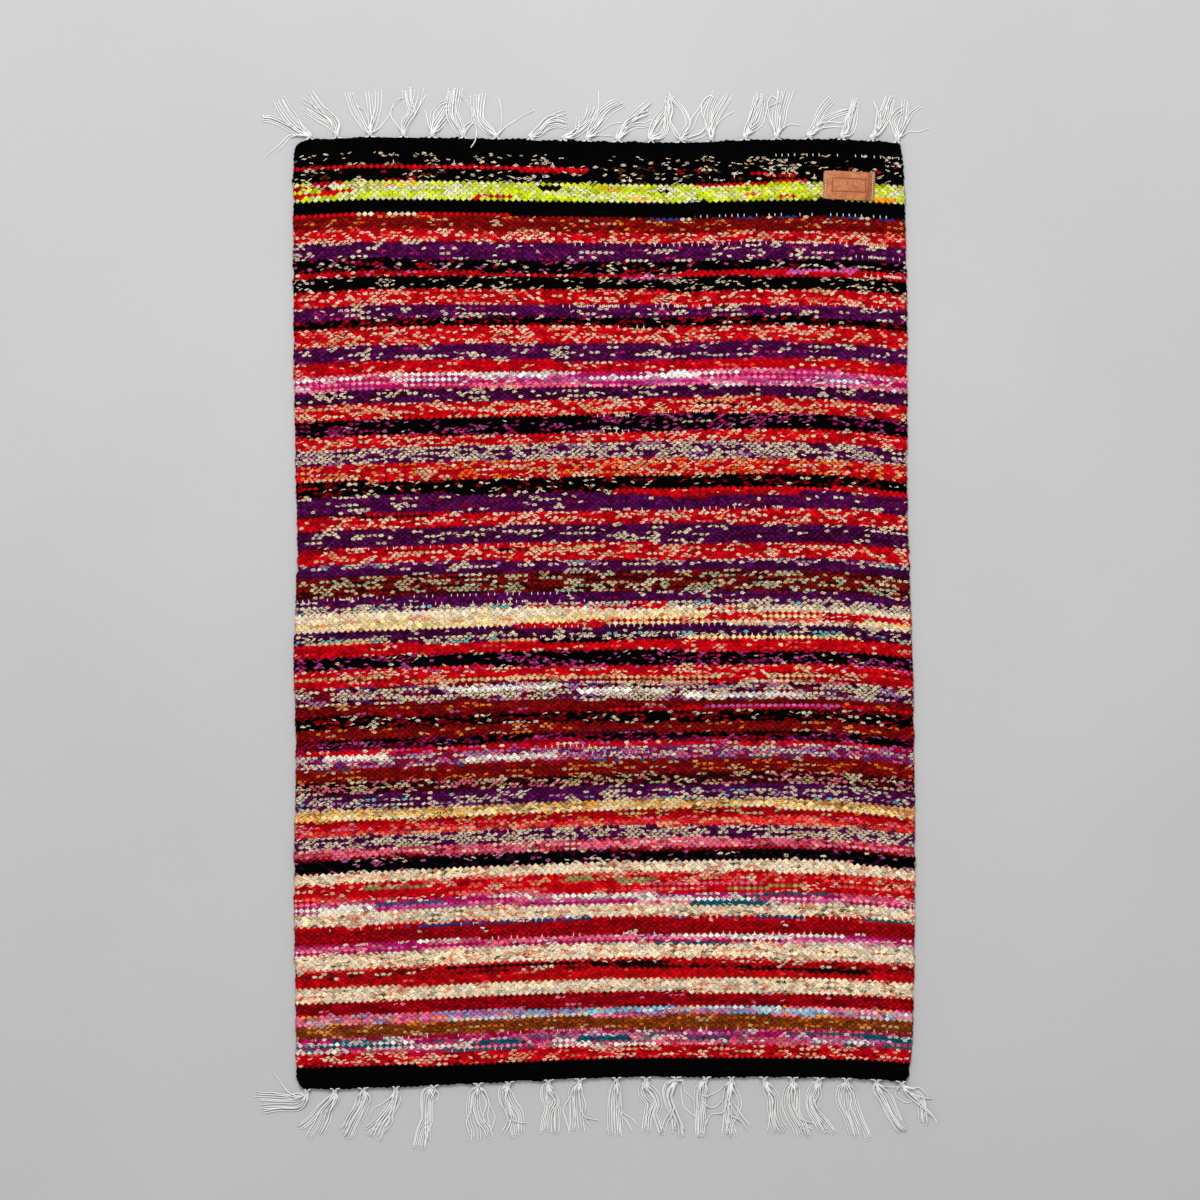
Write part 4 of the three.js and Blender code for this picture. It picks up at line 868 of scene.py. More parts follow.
BOTTOM_TASSELS = (
    (-288, (5, 8, (-4, 5), (-13, 8), (-32, 7), (-51, 6)), (3, 4, (-3, 11), (-12, 16), (-29, 16), (-45, 17)),
     (2, 1, (-2, 12), (-9, 19), (-27, 19), (-44, 22)), (1, 0, (-7, 6), (-17, 4), (-25, -6), (-33, -16)),
     (1, 0, (-8, 7), (-19, 5), (-35, 2))),
    (-261, (4, 7, (-5, 9), (-15, 19), (-25, 30), (-36, 38)),
     (4, 6, (-3, 12), (-13, 24), (-19, 36), (-26, 47)), (4, 6, (1, 11), (-5, 22), (-8, 32), (-14, 44))),
    (-234, (4, 6, (1, 9), (-6, 21), (-13, 31), (-22, 43)), (6, 9, (4, 11), (-2, 24), (-8, 35), (-15, 50)),
     (2, 3, (-4, 8), (-6, 16), (-13, 27), (-19, 39))),
    (-202, (4, 9, (-2, 10), (-8, 22), (-18, 34), (-30, 44)),
     (5, 11, (1, 12), (-5, 24), (-14, 37), (-20, 50)), (2, 4, (-2, 17), (-5, 27), (-5, 35), (-12, 43)),
     (1, 0, (-5, 10), (-17, 17), (-24, 22), (-26, 29))),
    (-165, (8, 12, (-6, 6), (-7, 20), (-7, 33), (-12, 46), (-15, 61)),
     (3, 4, (-5, 12), (-6, 25), (-6, 37), (-6, 52)), (1, 0, (5, 8), (3, 14), (0, 16))),
    (-122, (4, 8, (-6, 8), (-9, 23), (-7, 35), (-3, 47), (-3, 55)),
     (4, 6, (-1, 10), (-2, 24), (2, 36), (9, 46), (11, 54)), (2, 5, (5, 8), (9, 21), (7, 34), (10, 46)),
     (1, 0, (-6, 14), (-8, 26), (-12, 38), (-9, 50)), (1, 0, (6, 8), (11, 20), (17, 33), (13, 48))),
    (-92, (5, 8, (-6, 6), (-7, 17), (-1, 29), (4, 41), (6, 54)),
     (4, 6, (-1, 8), (4, 21), (10, 30), (12, 39), (12, 50)),
     (2, 3, (-5, 12), (-3, 22), (0, 35), (-2, 43), (-6, 50)),
     (1, 0, (-3, 16), (0, 29), (3, 37), (9, 40), (16, 41))),
    (-54, (4, 5, (-5, 8), (-4, 19), (-1, 27), (-4, 39), (-6, 52)),
     (4, 6, (0, 9), (4, 21), (9, 29), (9, 41), (9, 53)),
     (4, 8, (3, 11), (8, 22), (3, 32), (2, 43), (3, 53))),
    (-23, (4, 5, (-7, 9), (-9, 22), (-8, 35), (-9, 53)),
     (1, 0, (-6, 9), (-11, 18), (-17, 30), (-15, 38), (-12, 48)),
     (4, 8, (-3, 12), (-2, 25), (-2, 38), (0, 53)), (1, 0, (2, 11), (6, 25), (5, 33)),
     (1, 0, (-2, 20), (3, 36), (10, 47)), (1, 0, (-1, 18), (4, 37), (18, 42))),
    (12, (4, 5, (-4, 11), (-6, 25), (-6, 39), (-7, 56)), (4, 5, (1, 13), (1, 27), (1, 41), (2, 57)),
     (1, 0, (1, 11), (3, 21), (7, 35), (14, 40), (21, 47)),
     (1, 0, (1, 14), (1, 26), (6, 37), (12, 45), (17, 54)), (1, 0, (4, 12), (5, 30), (6, 48))),
    (41, (3, 4, (-5, 11), (-4, 19), (2, 27), (0, 41), (-1, 53)),
     (3, 4, (-2, 9), (2, 19), (8, 26), (3, 39), (2, 54)),
     (5, 5, (2, 9), (9, 17), (12, 27), (9, 36), (12, 46), (15, 56))),
    (70, (4, 4, (-8, 6), (-12, 15), (-9, 27), (-4, 38), (-2, 54)),
     (4, 4, (-5, 11), (-6, 21), (-2, 34), (3, 46), (5, 58)),
     (2, 3, (-6, 16), (-4, 31), (-10, 43), (-14, 55)), (1, 0, (-4, 20), (0, 33), (4, 43), (8, 51)),
     (1, 0, (7, 3), (8, 13), (14, 19), (19, 25)), (1, 0, (7, 4), (5, 14), (6, 27), (14, 36), (21, 40))),
    (99, (9, 8, (-4, 8), (-6, 20), (-6, 32), (-6, 44), (-6, 58)),
     (3, 3, (-3, 10), (-4, 26), (-2, 40), (-4, 57))),
    (124, (3, 4, (-4, 12), (-7, 26), (-5, 40), (-7, 58)), (3, 7, (-2, 14), (-4, 28), (-3, 42), (2, 58)),
     (2, 2, (3, 12), (8, 24), (6, 37), (0, 47), (-1, 58)),
     (2, 4, (-2, 12), (-1, 22), (4, 32), (9, 40), (18, 50)),
     (1, 0, (-5, 6), (-14, 13), (-24, 18), (-31, 17)),
     (1, 0, (-6, 10), (-9, 22), (-19, 30), (-27, 26), (-30, 20)),
     (1, 0, (-5, 22), (-9, 34), (-19, 36), (-24, 40), (-26, 46)),
     (1, 0, (-3, 30), (-1, 38), (6, 41), (13, 47))),
    (155, (5, 6, (2, 10), (7, 21), (7, 34), (9, 46), (12, 55)),
     (5, 6, (5, 10), (12, 21), (12, 34), (15, 45), (20, 53)), (1, 0, (5, 14), (6, 27), (6, 40), (4, 53))),
    (183, (4, 7, (-5, 12), (-8, 25), (-4, 37), (3, 49), (6, 59)),
     (4, 5, (-1, 14), (-1, 27), (4, 39), (11, 48), (19, 52)),
     (3, 5, (4, 10), (6, 24), (6, 36), (12, 46), (16, 59)),
     (1, 0, (-1, 14), (0, 27), (6, 40), (12, 43), (26, 47))),
    (209, (5, 6, (-6, 9), (-10, 20), (-9, 32), (-2, 43), (4, 54)),
     (4, 6, (-4, 12), (-8, 22), (-2, 34), (7, 45), (14, 54)), (2, 3, (0, 8), (0, 18), (-3, 25), (1, 33))),
    (235, (4, 5, (-6, 11), (-7, 23), (-1, 36), (3, 47), (5, 55)),
     (4, 6, (1, 13), (2, 27), (6, 39), (10, 49), (12, 57)),
     (4, 5, (6, 13), (10, 27), (14, 39), (20, 51), (23, 59))),
    (264, (5, 5, (0, 10), (7, 21), (12, 32), (18, 42), (23, 49)),
     (5, 6, (5, 10), (13, 21), (18, 32), (23, 41), (29, 47)), (1, 0, (8, 8), (15, 15), (21, 28), (26, 40)),
     (1, 0, (8, 5), (20, 6), (36, 5))),
    (288, (4, 5, (4, 9), (13, 15), (20, 24), (21, 37)), (4, 6, (7, 7), (17, 13), (22, 23), (24, 41)),
     (2, 2, (5, 9), (14, 17), (25, 27), (32, 34), (37, 41)), (1, 0, (9, 5), (19, 6), (25, 11), (28, 15)),
     (1, 0, (5, 8), (14, 12), (23, 15), (30, 16)), (1, 0, (-4, 8), (-4, 16), (5, 21), (10, 20))),
)

# How high the cloth and the yarns laid so far lie above the floor, past each end, on a fine grid.
pile_across = np.arange(-0.35, 0.35, PILE_CELL)
pile_out = np.arange(-0.03, 0.08, PILE_CELL)
RIM_HALF_WIDTH = 0.298
RIM_CORNER = 0.011


def cloth_rim_height(x, out):
    """The height of the cloth's rounded rim, at a place across and out from its end."""
    from_side = RIM_HALF_WIDTH - np.abs(x)
    inside = np.minimum(-out, from_side)
    corner_x = np.maximum(RIM_CORNER - from_side, 0)
    corner_y = np.maximum(RIM_CORNER + out, 0)
    in_corner = np.minimum(corner_x, corner_y) > 0
    inside = np.where(in_corner, RIM_CORNER - np.hypot(corner_x, corner_y), inside)
    round_part = np.clip(inside, 0, EDGE_RADIUS)
    height = EDGE_RADIUS + np.sqrt(EDGE_RADIUS**2 - (EDGE_RADIUS - round_part) ** 2)
    return np.where(inside > 0, height, 0)


def smooth_curve(points, step):
    """Points an equal step apart on a smooth curve through the given ones."""
    points = np.asarray(points, float)
    padded = np.concatenate([[2 * points[0] - points[1]], points, [2 * points[-1] - points[-2]]])
    t = np.linspace(0, 1, 12, endpoint=False)[:, None]
    parts = []
    for p0, p1, p2, p3 in zip(padded, padded[1:], padded[2:], padded[3:]):
        parts.append(0.5 * (2 * p1 + (p2 - p0) * t + (2 * p0 - 5 * p1 + 4 * p2 - p3) * t**2
                            + (3 * p1 - p0 - 3 * p2 + p3) * t**3))
    fine = np.concatenate(parts + [points[-1:]])
    along = np.r_[0, np.cumsum(np.linalg.norm(np.diff(fine, axis=0), axis=1))]
    at = np.linspace(0, along[-1], max(4, round(along[-1] / step)))
    return np.stack([np.interp(at, along, axis) for axis in fine.T], 1)


def tube(path, radii, upright, first_along):
    """A closed yarn: its points, its triangles and each corner's turn round it and millimetres along it."""
    sides = YARN_SIDES
    forward = np.gradient(path, axis=0)
    forward /= np.linalg.norm(forward, axis=1)[:, None]
    side = np.cross(upright, forward)
    side /= np.linalg.norm(side, axis=1)[:, None]
    over = np.cross(forward, side)
    angle = 2 * np.pi * np.arange(sides) / sides
    ring = np.cos(angle)[None, :, None] * side[:, None] + np.sin(angle)[None, :, None] * over[:, None]
    points = np.concatenate([(path[:, None] + radii[:, None, None] * ring).reshape(-1, 3), path[[0, -1]]])
    count = len(path)
    i, j = np.meshgrid(np.arange(count - 1), np.arange(sides), indexing="ij")
    i, j = i.ravel(), j.ravel()
    after = (j + 1) % sides
    quad = [i * sides + j, i * sides + after, (i + 1) * sides + after, (i + 1) * sides + j]
    turn = [j / sides, (j + 1) / sides, (j + 1) / sides, j / sides]
    along = first_along + np.r_[0, np.cumsum(np.linalg.norm(np.diff(path, axis=0), axis=1))] / MILLIMETRE
    length = [along[i], along[i], along[i + 1], along[i + 1]]
    k = np.arange(sides)
    start, end = count * sides, count * sides + 1
    full = np.full(sides, 1)
    triangles = [np.stack([quad[n] for n in (0, 1, 2)], 1), np.stack([quad[n] for n in (0, 2, 3)], 1),
                 np.stack([start * full, (k + 1) % sides, k], 1),
                 np.stack([end * full, (count - 1) * sides + k, (count - 1) * sides + (k + 1) % sides], 1)]
    maps = [np.stack([np.stack([turn[n], length[n]], -1) for n in (0, 1, 2)], 1),
            np.stack([np.stack([turn[n], length[n]], -1) for n in (0, 2, 3)], 1),
            np.broadcast_to([0, along[0]], (sides, 3, 2)), np.broadcast_to([0, along[-1]], (sides, 3, 2))]
    return points, np.concatenate(triangles), np.concatenate(maps)


# A yarn comes down from its knot over KNOT_EASE. Past the cloth's rim it stays under BUNCH_TOP, and to each
# side it fills the pile a hair less high.
KNOT_EASE = 0.006
RIM_OVERLAP = 0.001
YARN_SHOULDER = 0.0003
NO_CAP = 1


def lay_down(path, pile, start_height):
    """Heights of a yarn let down on what lies there already. The pile then has the yarn on it too."""
    column = np.clip(((path[:, 0] - pile_across[0]) / PILE_CELL).round().astype(int), 2, len(pile_across) - 3)
    row = np.clip(((path[:, 1] - pile_out[0]) / PILE_CELL).round().astype(int), 2, len(pile_out) - 3)
    under = np.max([pile[row + a, column + b] for a in (-1, 0, 1) for b in (-1, 0, 1)], axis=0)
    wide = np.max([np.r_[under[n:], np.full(n, under[-1])] for n in (0, 1, 2)]
                  + [np.r_[np.full(n, under[0]), under[:-n]] for n in (1, 2)], axis=0)
    eased = np.convolve(np.pad(wide, 2, mode="edge"), np.array([1, 2, 3, 2, 1]) / 9, mode="valid")
    height = np.maximum(under, eased) + YARN_RADIUS
    is_over_cloth = path[:, 1] < -RIM_OVERLAP
    height = np.minimum(height, np.where(is_over_cloth, NO_CAP, BUNCH_TOP))
    from_knot = np.arange(len(path)) * YARN_STEP
    near = np.clip(1 - from_knot / KNOT_EASE, 0, 1)
    height = height * (1 - near) + start_height * near
    for a in (-1, 0, 1):
        for b in (-1, 0, 1):
            lower = 0.0 if a == 0 and b == 0 else YARN_SHOULDER
            np.maximum.at(pile, (row + a, column + b), height + YARN_RADIUS - lower)
    return height


# Three thinner warps run in from each side, three strands make the knot, and the bunch then fans out.
WARPS_RUN_IN = 3
RUN_IN_HEIGHT = 0.0032
RUN_IN_LIFT = 0.0004
RUN_IN_DIP = 0.0012
THINNER = 0.75
KNOT_STRANDS = 3
KNOT_STRAND_PITCH = 0.00095
KNOT_BACK = 0.0015
KNOT_WIND = 0.001
KNOT_HALF_WIDTH = 0.0021
KNOT_HALF_HEIGHT = 0.0018
BUNCH_WIDTH = 0.003
BUNCH_LAYER = 0.0012
FAN_OPENS_OVER = 0.009
TIP_STRAY = 0.0005
SWAY = 0.0009
FRAY_LENGTH = 0.0018


def lay_tassel(end, knot_x, locks, pile):
    """One tassel: the warps that run in along the edge, the knot round them and the loose yarns past it."""
    pieces = []
    number = rng.integers(0, 500)

    def add_yarn(across, out, height, radii, upright=(0, 0, 1)):
        nonlocal number
        number += 1
        edge = short_end(end, knot_x + across)
        path = np.stack([knot_x + across, edge + end * out, height], 1)
        if end < 0:
            path = path[::-1]
            radii = radii[::-1]
        pieces.append(tube(path, radii, np.array(upright, float), 97.0 * number))

    for side in (-1, 1):
        for _ in range(WARPS_RUN_IN):
            reach = side * rng.uniform(1.8, 5.5) * MILLIMETRE
            way = [(reach, -0.0009), (0.7 * reach, -0.0004), (0.35 * reach, 0.0002), (side * 0.0006, 0.0016)]
            path = smooth_curve(way, 0.0008)
            rise = cloth_rim_height(np.zeros(len(path)), path[:, 1]) + RUN_IN_LIFT
            height = np.maximum(rise, RUN_IN_HEIGHT + rng.uniform(-0.0006, 0.0012))
            height[0] -= RUN_IN_DIP
            add_yarn(path[:, 0], path[:, 1], height, np.full(len(path), YARN_RADIUS * THINNER))

    # The knot winds round the bunch, square to the way that the bunch sets off.
    lean_across = sum(lock[0] * lock[2][0] for lock in locks)
    lean_out = sum(lock[0] * lock[2][1] for lock in locks)
    lean = math.atan2(lean_across, lean_out)
    for strand in range(KNOT_STRANDS):
        turn = np.linspace(-0.35, 1.05, 22) * 2 * np.pi
        across = KNOT_HALF_WIDTH * np.cos(turn)
        out = KNOT_OUT - KNOT_BACK + KNOT_STRAND_PITCH * strand + KNOT_WIND * turn / (2 * np.pi)
        height = KNOT_HEIGHT + KNOT_HALF_HEIGHT * np.sin(turn)
        x = across * math.cos(lean) + out * math.sin(lean)
        y = -across * math.sin(lean) + out * math.cos(lean)
        upright = (math.sin(lean), end * math.cos(lean), 0)
        add_yarn(x, y, height, np.full(len(turn), YARN_RADIUS * 1.05), upright)

    for yarns, spread, *way in locks:
        way = np.array(way, float)
        order = rng.permutation(yarns)
        for n in range(yarns):
            share = 0 if yarns == 1 else n / (yarns - 1) - 0.5
            start_share = 0 if yarns == 1 else order[n] / (yarns - 1) - 0.5
            begin = np.array([[start_share * BUNCH_WIDTH, KNOT_OUT + 0.0004]])
            line = smooth_curve(np.concatenate([begin, way * GRID_STEP]), YARN_STEP)
            heading = np.gradient(line, axis=0)
            heading /= np.linalg.norm(heading, axis=1)[:, None]
            sideways = np.stack([heading[:, 1], -heading[:, 0]], 1)
            t = np.linspace(0, 1, len(line))
            side_by_side = share * yarns * YARN_PITCH * MILLIMETRE
            opening = np.clip(np.arange(len(line)) * YARN_STEP / FAN_OPENS_OVER, 0, 1) ** 0.7 * (1 - t)
            at_tip = share * spread * GRID_STEP + rng.normal(0, TIP_STRAY)
            fan = t**0.9 * at_tip + opening * side_by_side
            phase = t * rng.uniform(0.6, 1.6) + rng.random()
            sway = SWAY * rng.uniform(0.2, 1) * np.sin(2 * np.pi * phase)
            line = line + sideways * (fan + sway * np.sin(np.pi * np.clip(t * 1.3, 0, 1)))[:, None]
            if rng.random() < 0.5 and yarns > 1:
                line = line[:len(line) - rng.integers(1, 3)]
            height = lay_down(line + (knot_x, 0), pile, BUNCH_LAYER + BUNCH_LAYER * rng.integers(0, 3))
            radii = np.full(len(line), YARN_RADIUS)
            radii[-1] *= THINNER
            add_yarn(line[:, 0], line[:, 1], height, radii)
            for fray in (-1, 1):
                splay = np.linspace(0, 1, 4)[:, None]
                onwards = heading[len(line) - 1] * FRAY_LENGTH * rng.uniform(0.5, 1.2)
                apart = sideways[len(line) - 1] * fray * rng.uniform(0.0002, 0.0007)
                tip = line[-1] + (onwards + apart) * splay
                fall = np.maximum(height[-1] * (1 - 0.6 * splay[:, 0]), YARN_RADIUS * 0.5)
                add_yarn(tip[:, 0], tip[:, 1], fall, YARN_RADIUS * np.array([THINNER, THINNER, 0.7, 0.5]))
    return pieces


def cotton_material():
    """Off-white two-ply cotton. Its plies wind round each other and its fibres stand up a little. Painted
    shade darkens the grooves between the plies and each yarn's sides and underside.
    """
    nodes = Nodes("warp cotton")
    turn, along, _ = nodes.parts(nodes.add("ShaderNodeUVMap", uv_map="yarn").outputs[0])
    winding = nodes.times(nodes.times_plus(along, 0.55, nodes.times(turn, 2.0)), math.pi)
    plies = nodes.size(nodes.math("SINE", winding))
    fibre_place = nodes.join(nodes.times(turn, 5.0), nodes.times(along, 0.9))
    fibres = nodes.noise(fibre_place, 1.0, 2.0, 0.6)
    yarn_tone = nodes.noise(nodes.join(0.0, nodes.times(along, 0.021)), 1.0)
    # Painted shade in the grooves between the two plies, with a fibre tone that differs at random.
    tone = nodes.times(nodes.ramp(plies, 0.0, 0.5, 0.82, 1.0), nodes.ramp(fibres, 0.2, 0.8, 0.9, 1.02))
    tone = nodes.times(tone, nodes.ramp(yarn_tone, 0.4, 0.6, 0.86, 1.02))
    # Painted shade on each yarn's sides and underside; the top, facing the lamp, stays lightest.
    lit_from_above = nodes.math("SINE", nodes.times(turn, 2 * math.pi))
    tone = nodes.times(tone, nodes.ramp(lit_from_above, -0.2, 0.7, 0.5, 1.0))
    colour = nodes.mix(1.0, paint((250, 250, 248)), nodes.grey(tone), "MULTIPLY")
    nodes.bump(nodes.times_plus(plies, 0.8, nodes.times(fibres, 0.5)), 0.0003)
    nodes.shader.inputs["Sheen Weight"].default_value = 0.1
    return nodes.surface(colour, roughness=0.95, specular=0.15)


warp_cotton = cotton_material()
for end, end_name, rows_of_tassels in ((1, "top", TOP_TASSELS), (-1, "bottom", BOTTOM_TASSELS)):
    pile = cloth_rim_height(pile_across[None, :], pile_out[:, None])
    for number, (knot_x, *locks) in enumerate(rows_of_tassels, 1):
        parts = lay_tassel(end, knot_x * MILLIMETRE, locks, pile)
        firsts = np.cumsum([0] + [len(part[0]) for part in parts[:-1]])
        yarn_points = np.concatenate([part[0] for part in parts])
        yarn_triangles = np.concatenate([part[1] + first for part, first in zip(parts, firsts)])
        tassel = piece_from(f"tassel_{end_name}_{number:02d}_yarns", yarn_points, yarn_triangles)
        turn_and_length = np.concatenate([part[2] for part in parts])
        fill_map(tassel, "yarn", turn_and_length[..., 0], turn_and_length[..., 1])
        tassel.data.materials.append(warp_cotton)
        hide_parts(f"tassel_{end_name}_{number:02d}")
        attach(tassel, "root")

# The label
# A rectangle of tan leather with rounded corners and a plain tooled border; its crease at the right end is
# painted as a line of shade. Cream thread sews it through the cloth along its two short sides, and the seams
# pull those sides down a little.

LABEL_THICKNESS = 0.0016
LABEL_CORNER = 0.002
BORDER_SIZE = (0.0322, 0.0127)
BORDER_UP = 0.0005
BORDER_WIDTH = 0.0008
TROUGH_RADIUS = 0.003
TROUGH_DEPTH = 0.00022
EDGE_BEVEL = 0.0004
SMOOTH_ANGLE = math.radians(40)
LABEL_BEDDED = 0.00005
CREASE_ACROSS = 0.0255
STITCH_PITCH = 0.00204
STITCH_INSET = 0.0022
STITCHES = 13
STITCH_SIZE = (0.00044, 0.00078, 0.0003)
STITCH_SUNK = 0.00008
STITCH_SLANT = -32

bpy.ops.object.select_all(action="DESELECT")
bpy.ops.mesh.primitive_cube_add(size=1)
label = bpy.context.object
label.name = "leather_label"
label.dimensions = (LABEL_SIZE[0], LABEL_SIZE[1], LABEL_THICKNESS)
bpy.ops.object.transform_apply(location=False, rotation=False, scale=True)


def bevel_edges(piece, edges, width, segments):
    """Rounds these edges of the piece off."""
    bpy.ops.object.mode_set(mode="EDIT")
    bpy.ops.mesh.select_all(action="DESELECT")
    bpy.ops.object.mode_set(mode="OBJECT")
    for n in edges:
        piece.data.edges[n].select = True
    bpy.ops.object.mode_set(mode="EDIT")
    bpy.ops.mesh.bevel(offset=width, segments=segments, affect="EDGES")
    bpy.ops.object.mode_set(mode="OBJECT")


def edge_heights(piece):
    """The two end heights of every edge of the piece, as one row for each edge."""
    return np.array([[piece.data.vertices[v].co.z for v in edge.vertices] for edge in piece.data.edges])


def press_into(piece, tool):
    """Takes the tool's shape out of the piece, and takes the tool away."""
    bpy.context.view_layer.objects.active = piece
    cut = piece.modifiers.new("pressed", "BOOLEAN")
    cut.object = tool
    cut.operation = "DIFFERENCE"
    bpy.ops.object.modifier_apply(modifier=cut.name)
    bpy.data.objects.remove(tool)


bpy.ops.object.mode_set(mode="EDIT")
bpy.ops.mesh.select_mode(type="EDGE")
bpy.ops.object.mode_set(mode="OBJECT")
upright_edges = np.nonzero(np.ptp(edge_heights(label), axis=1) > 0.5 * LABEL_THICKNESS)[0]
bevel_edges(label, upright_edges, LABEL_CORNER, segments=5)
upper_edges = np.nonzero(edge_heights(label).min(axis=1) > 0.4 * LABEL_THICKNESS)[0]
bevel_edges(label, upper_edges, EDGE_BEVEL, segments=3)

# The tooled border is a square-edged line pressed in on its corner, and each seam sits in a shallow trough.
label_top = LABEL_THICKNESS / 2
on_corner = math.pi / 4
for side in (-1, 1):
    for size, place, turn in (
        ((BORDER_SIZE[0], BORDER_WIDTH), (0, side * BORDER_SIZE[1] / 2), (on_corner, 0, 0)),
        ((BORDER_WIDTH, BORDER_SIZE[1]), (side * BORDER_SIZE[0] / 2, 0), (0, on_corner, 0)),
    ):
        bpy.ops.mesh.primitive_cube_add(size=1)
        tool = bpy.context.object
        tool.dimensions = (*size, BORDER_WIDTH)
        bpy.ops.object.transform_apply(location=False, rotation=False, scale=True)
        tool.rotation_euler = turn
        tool.location = (place[0], BORDER_UP + place[1], label_top + 0.25 * BORDER_WIDTH)
        press_into(label, tool)
    bpy.ops.mesh.primitive_cylinder_add(vertices=32, radius=TROUGH_RADIUS, depth=2 * LABEL_SIZE[1])
    tool = bpy.context.object
    tool.rotation_euler.x = math.pi / 2
    tool.location = (side * (LABEL_SIZE[0] / 2 - STITCH_INSET), 0, label_top + TROUGH_RADIUS - TROUGH_DEPTH)
    press_into(label, tool)

label_height = float(body_top(*LABEL_PLACE)) - LABEL_BEDDED + LABEL_THICKNESS / 2
bpy.ops.object.select_all(action="DESELECT")
label.select_set(True)
label.rotation_euler.z = LABEL_TURN
label.location = (*LABEL_PLACE, label_height)
bpy.ops.object.transform_apply(location=True, rotation=True, scale=True)
bpy.ops.object.shade_smooth_by_angle(angle=SMOOTH_ANGLE)


def leather_material():
    """Tan leather with a fine grain and a mottled tone, painted darker along its border, with painted shade
    along its crease and its seams.
    """
    nodes = Nodes("tan leather")
    place = nodes.add("ShaderNodeTexCoord").outputs["Object"]
    turned = {"Vector": place, "Center": (*LABEL_PLACE, 0), "Angle": -LABEL_TURN}
    from_middle = nodes.add("ShaderNodeVectorRotate", turned, rotation_type="Z_AXIS").outputs[0]
    across, up, _ = nodes.parts(from_middle)
    across = nodes.minus(across, LABEL_PLACE[0])
    up = nodes.minus(up, LABEL_PLACE[1] + BORDER_UP)
    blotch = nodes.noise(place, 160.0, 3.0, 0.65)
    grain = nodes.noise(place, 650.0, 3.0, 0.75)
    colour = nodes.mix(nodes.ramp(blotch, 0.35, 0.65), paint((176, 100, 56)), paint((200, 124, 76)))
    colour = nodes.mix(nodes.ramp(grain, 0.42, 0.6, 0.0, 0.6), colour, paint((128, 64, 34)))

    # The tooled line is painted darker.
    past_side = nodes.minus(nodes.size(across), 0.5 * BORDER_SIZE[0])
    past_end = nodes.minus(nodes.size(up), 0.5 * BORDER_SIZE[1])
    off_line = nodes.size(nodes.math("MAXIMUM", past_side, past_end))
    colour = nodes.mix(nodes.ramp(off_line, 0.0003, 0.0011, 0.7, 0.0), colour, paint((142, 68, 32)))
    # Painted shade for the crease at the right end, a dark line with no fold in the shape.
    crease_place = nodes.times_plus(nodes.noise(place, 220.0, 2.0), 0.012, across)
    off_crease = nodes.size(nodes.minus(crease_place, CREASE_ACROSS))
    colour = nodes.mix(nodes.ramp(off_crease, 0.0012, 0.0042, 0.85, 0.0), colour, paint((136, 66, 32)))
    # Painted shade along the seams, in their troughs.
    off_seam = nodes.size(nodes.minus(nodes.size(across), 0.5 * LABEL_SIZE[0] - STITCH_INSET))
    colour = nodes.mix(nodes.ramp(off_seam, 0.0004, 0.0013, 0.8, 0.0), colour, paint((104, 48, 26)))
    nodes.bump(nodes.times_plus(blotch, 1.5, grain), 0.0002)
    return nodes.surface(colour, roughness=0.62, specular=0.35)


label.data.materials.append(leather_material())
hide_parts("label")
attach(label, "root")

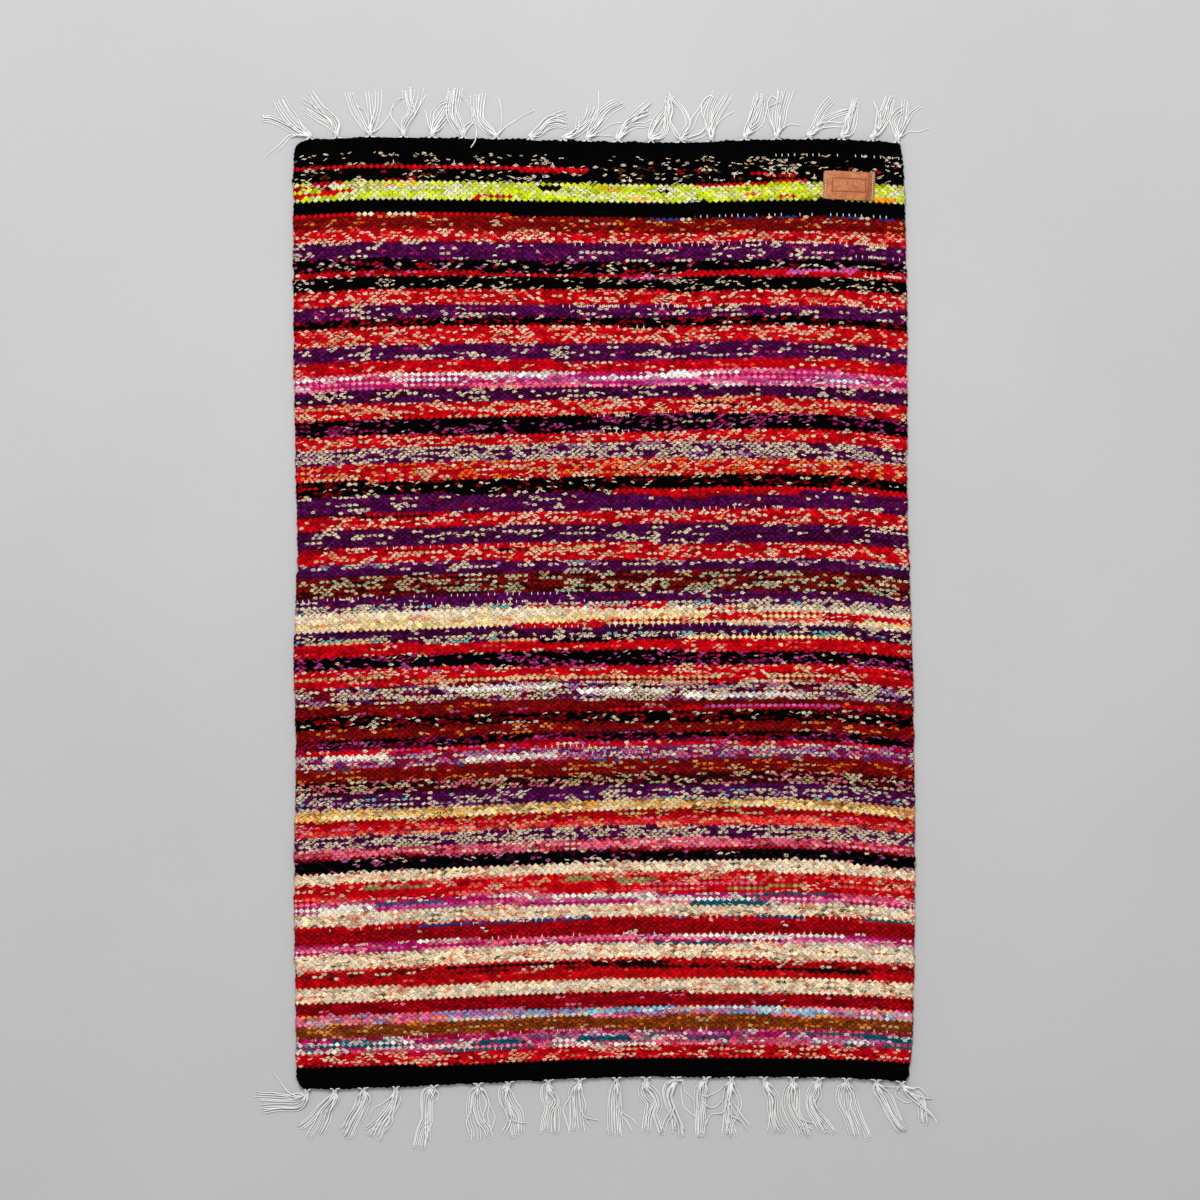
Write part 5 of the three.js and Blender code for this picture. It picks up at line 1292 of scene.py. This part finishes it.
bpy.ops.object.select_all(action="DESELECT")
bpy.ops.mesh.primitive_uv_sphere_add(segments=8, ring_count=6, radius=1)
label_stitches = bpy.context.object
label_stitches.name = "label_stitches"
label_stitches.scale = STITCH_SIZE
bpy.ops.object.transform_apply(location=False, rotation=False, scale=True)
stitch_mesh = label_stitches.data.copy()
stitches = [label_stitches]
for _ in range(1, 2 * STITCHES):
    stitch = bpy.data.objects.new("stitch", stitch_mesh.copy())
    bpy.context.scene.collection.objects.link(stitch)
    stitches.append(stitch)
for n, stitch in enumerate(stitches):
    side = 1 if n < STITCHES else -1
    along = (n % STITCHES - (STITCHES - 1) / 2) * STITCH_PITCH
    place = np.array([side * (LABEL_SIZE[0] / 2 - STITCH_INSET), along]) @ turn_back
    stitch.location = (*(LABEL_PLACE + place), label_height + LABEL_THICKNESS / 2 - STITCH_SUNK)
    stitch.rotation_euler.z = LABEL_TURN + math.radians(STITCH_SLANT + rng.uniform(-5, 5))
    stitch.select_set(True)
bpy.context.view_layer.objects.active = label_stitches
bpy.ops.object.join()
bpy.ops.object.transform_apply(location=True, rotation=True, scale=True)
bpy.ops.object.shade_smooth()
cream_thread = Nodes("cream thread").surface(paint((240, 222, 180)), roughness=0.8)
label_stitches.data.materials.append(cream_thread)
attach(label_stitches, "root")

# The floor, light and camera
# A plain pale floor under soft studio light, seen from straight above as in the photograph.

FLOOR_SIZE = 14
FLOOR_DROP = 0.0002
bpy.ops.mesh.primitive_plane_add(size=FLOOR_SIZE, location=(0, 0, -FLOOR_DROP))
floor = bpy.context.object
floor.name = "floor"
floor_nodes = Nodes("pale floor")
floor_place = floor_nodes.add("ShaderNodeTexCoord").outputs["Object"]
floor_tone = floor_nodes.ramp(floor_nodes.noise(floor_place, 3.0, 4.0), 0.2, 0.8, 0.46, 0.49)
floor.data.materials.append(floor_nodes.surface(floor_nodes.grey(floor_tone), roughness=0.7))

world = bpy.data.worlds.new("studio")
bpy.context.scene.world = world
world.use_nodes = True
world.node_tree.nodes["Background"].inputs["Color"].default_value = (1, 1, 1, 1)
world.node_tree.nodes["Background"].inputs["Strength"].default_value = 0.6
LAMP_PLACE = Vector((-0.2, 1.5, 2.5))
bpy.ops.object.light_add(type="AREA", location=LAMP_PLACE)
lamp = bpy.context.object
lamp.data.shape = "DISK"
lamp.data.size = 1.2
lamp.data.energy = 60
lamp.rotation_euler = (-LAMP_PLACE).to_track_quat("-Z", "Y").to_euler()

CAMERA_PLACE = (-0.0039, 0.0107, 6.0)
PICTURE_WIDTH = 1.164
SENSOR_WIDTH = 36
bpy.ops.object.camera_add(location=CAMERA_PLACE, rotation=(0, 0, 0))
camera = bpy.context.object
camera.data.sensor_fit = "HORIZONTAL"
camera.data.sensor_width = SENSOR_WIDTH
camera.data.lens = SENSOR_WIDTH * (CAMERA_PLACE[2] - 0.5 * THICKNESS) / PICTURE_WIDTH
bpy.context.scene.camera = camera
bpy.context.scene.view_settings.view_transform = "Standard"
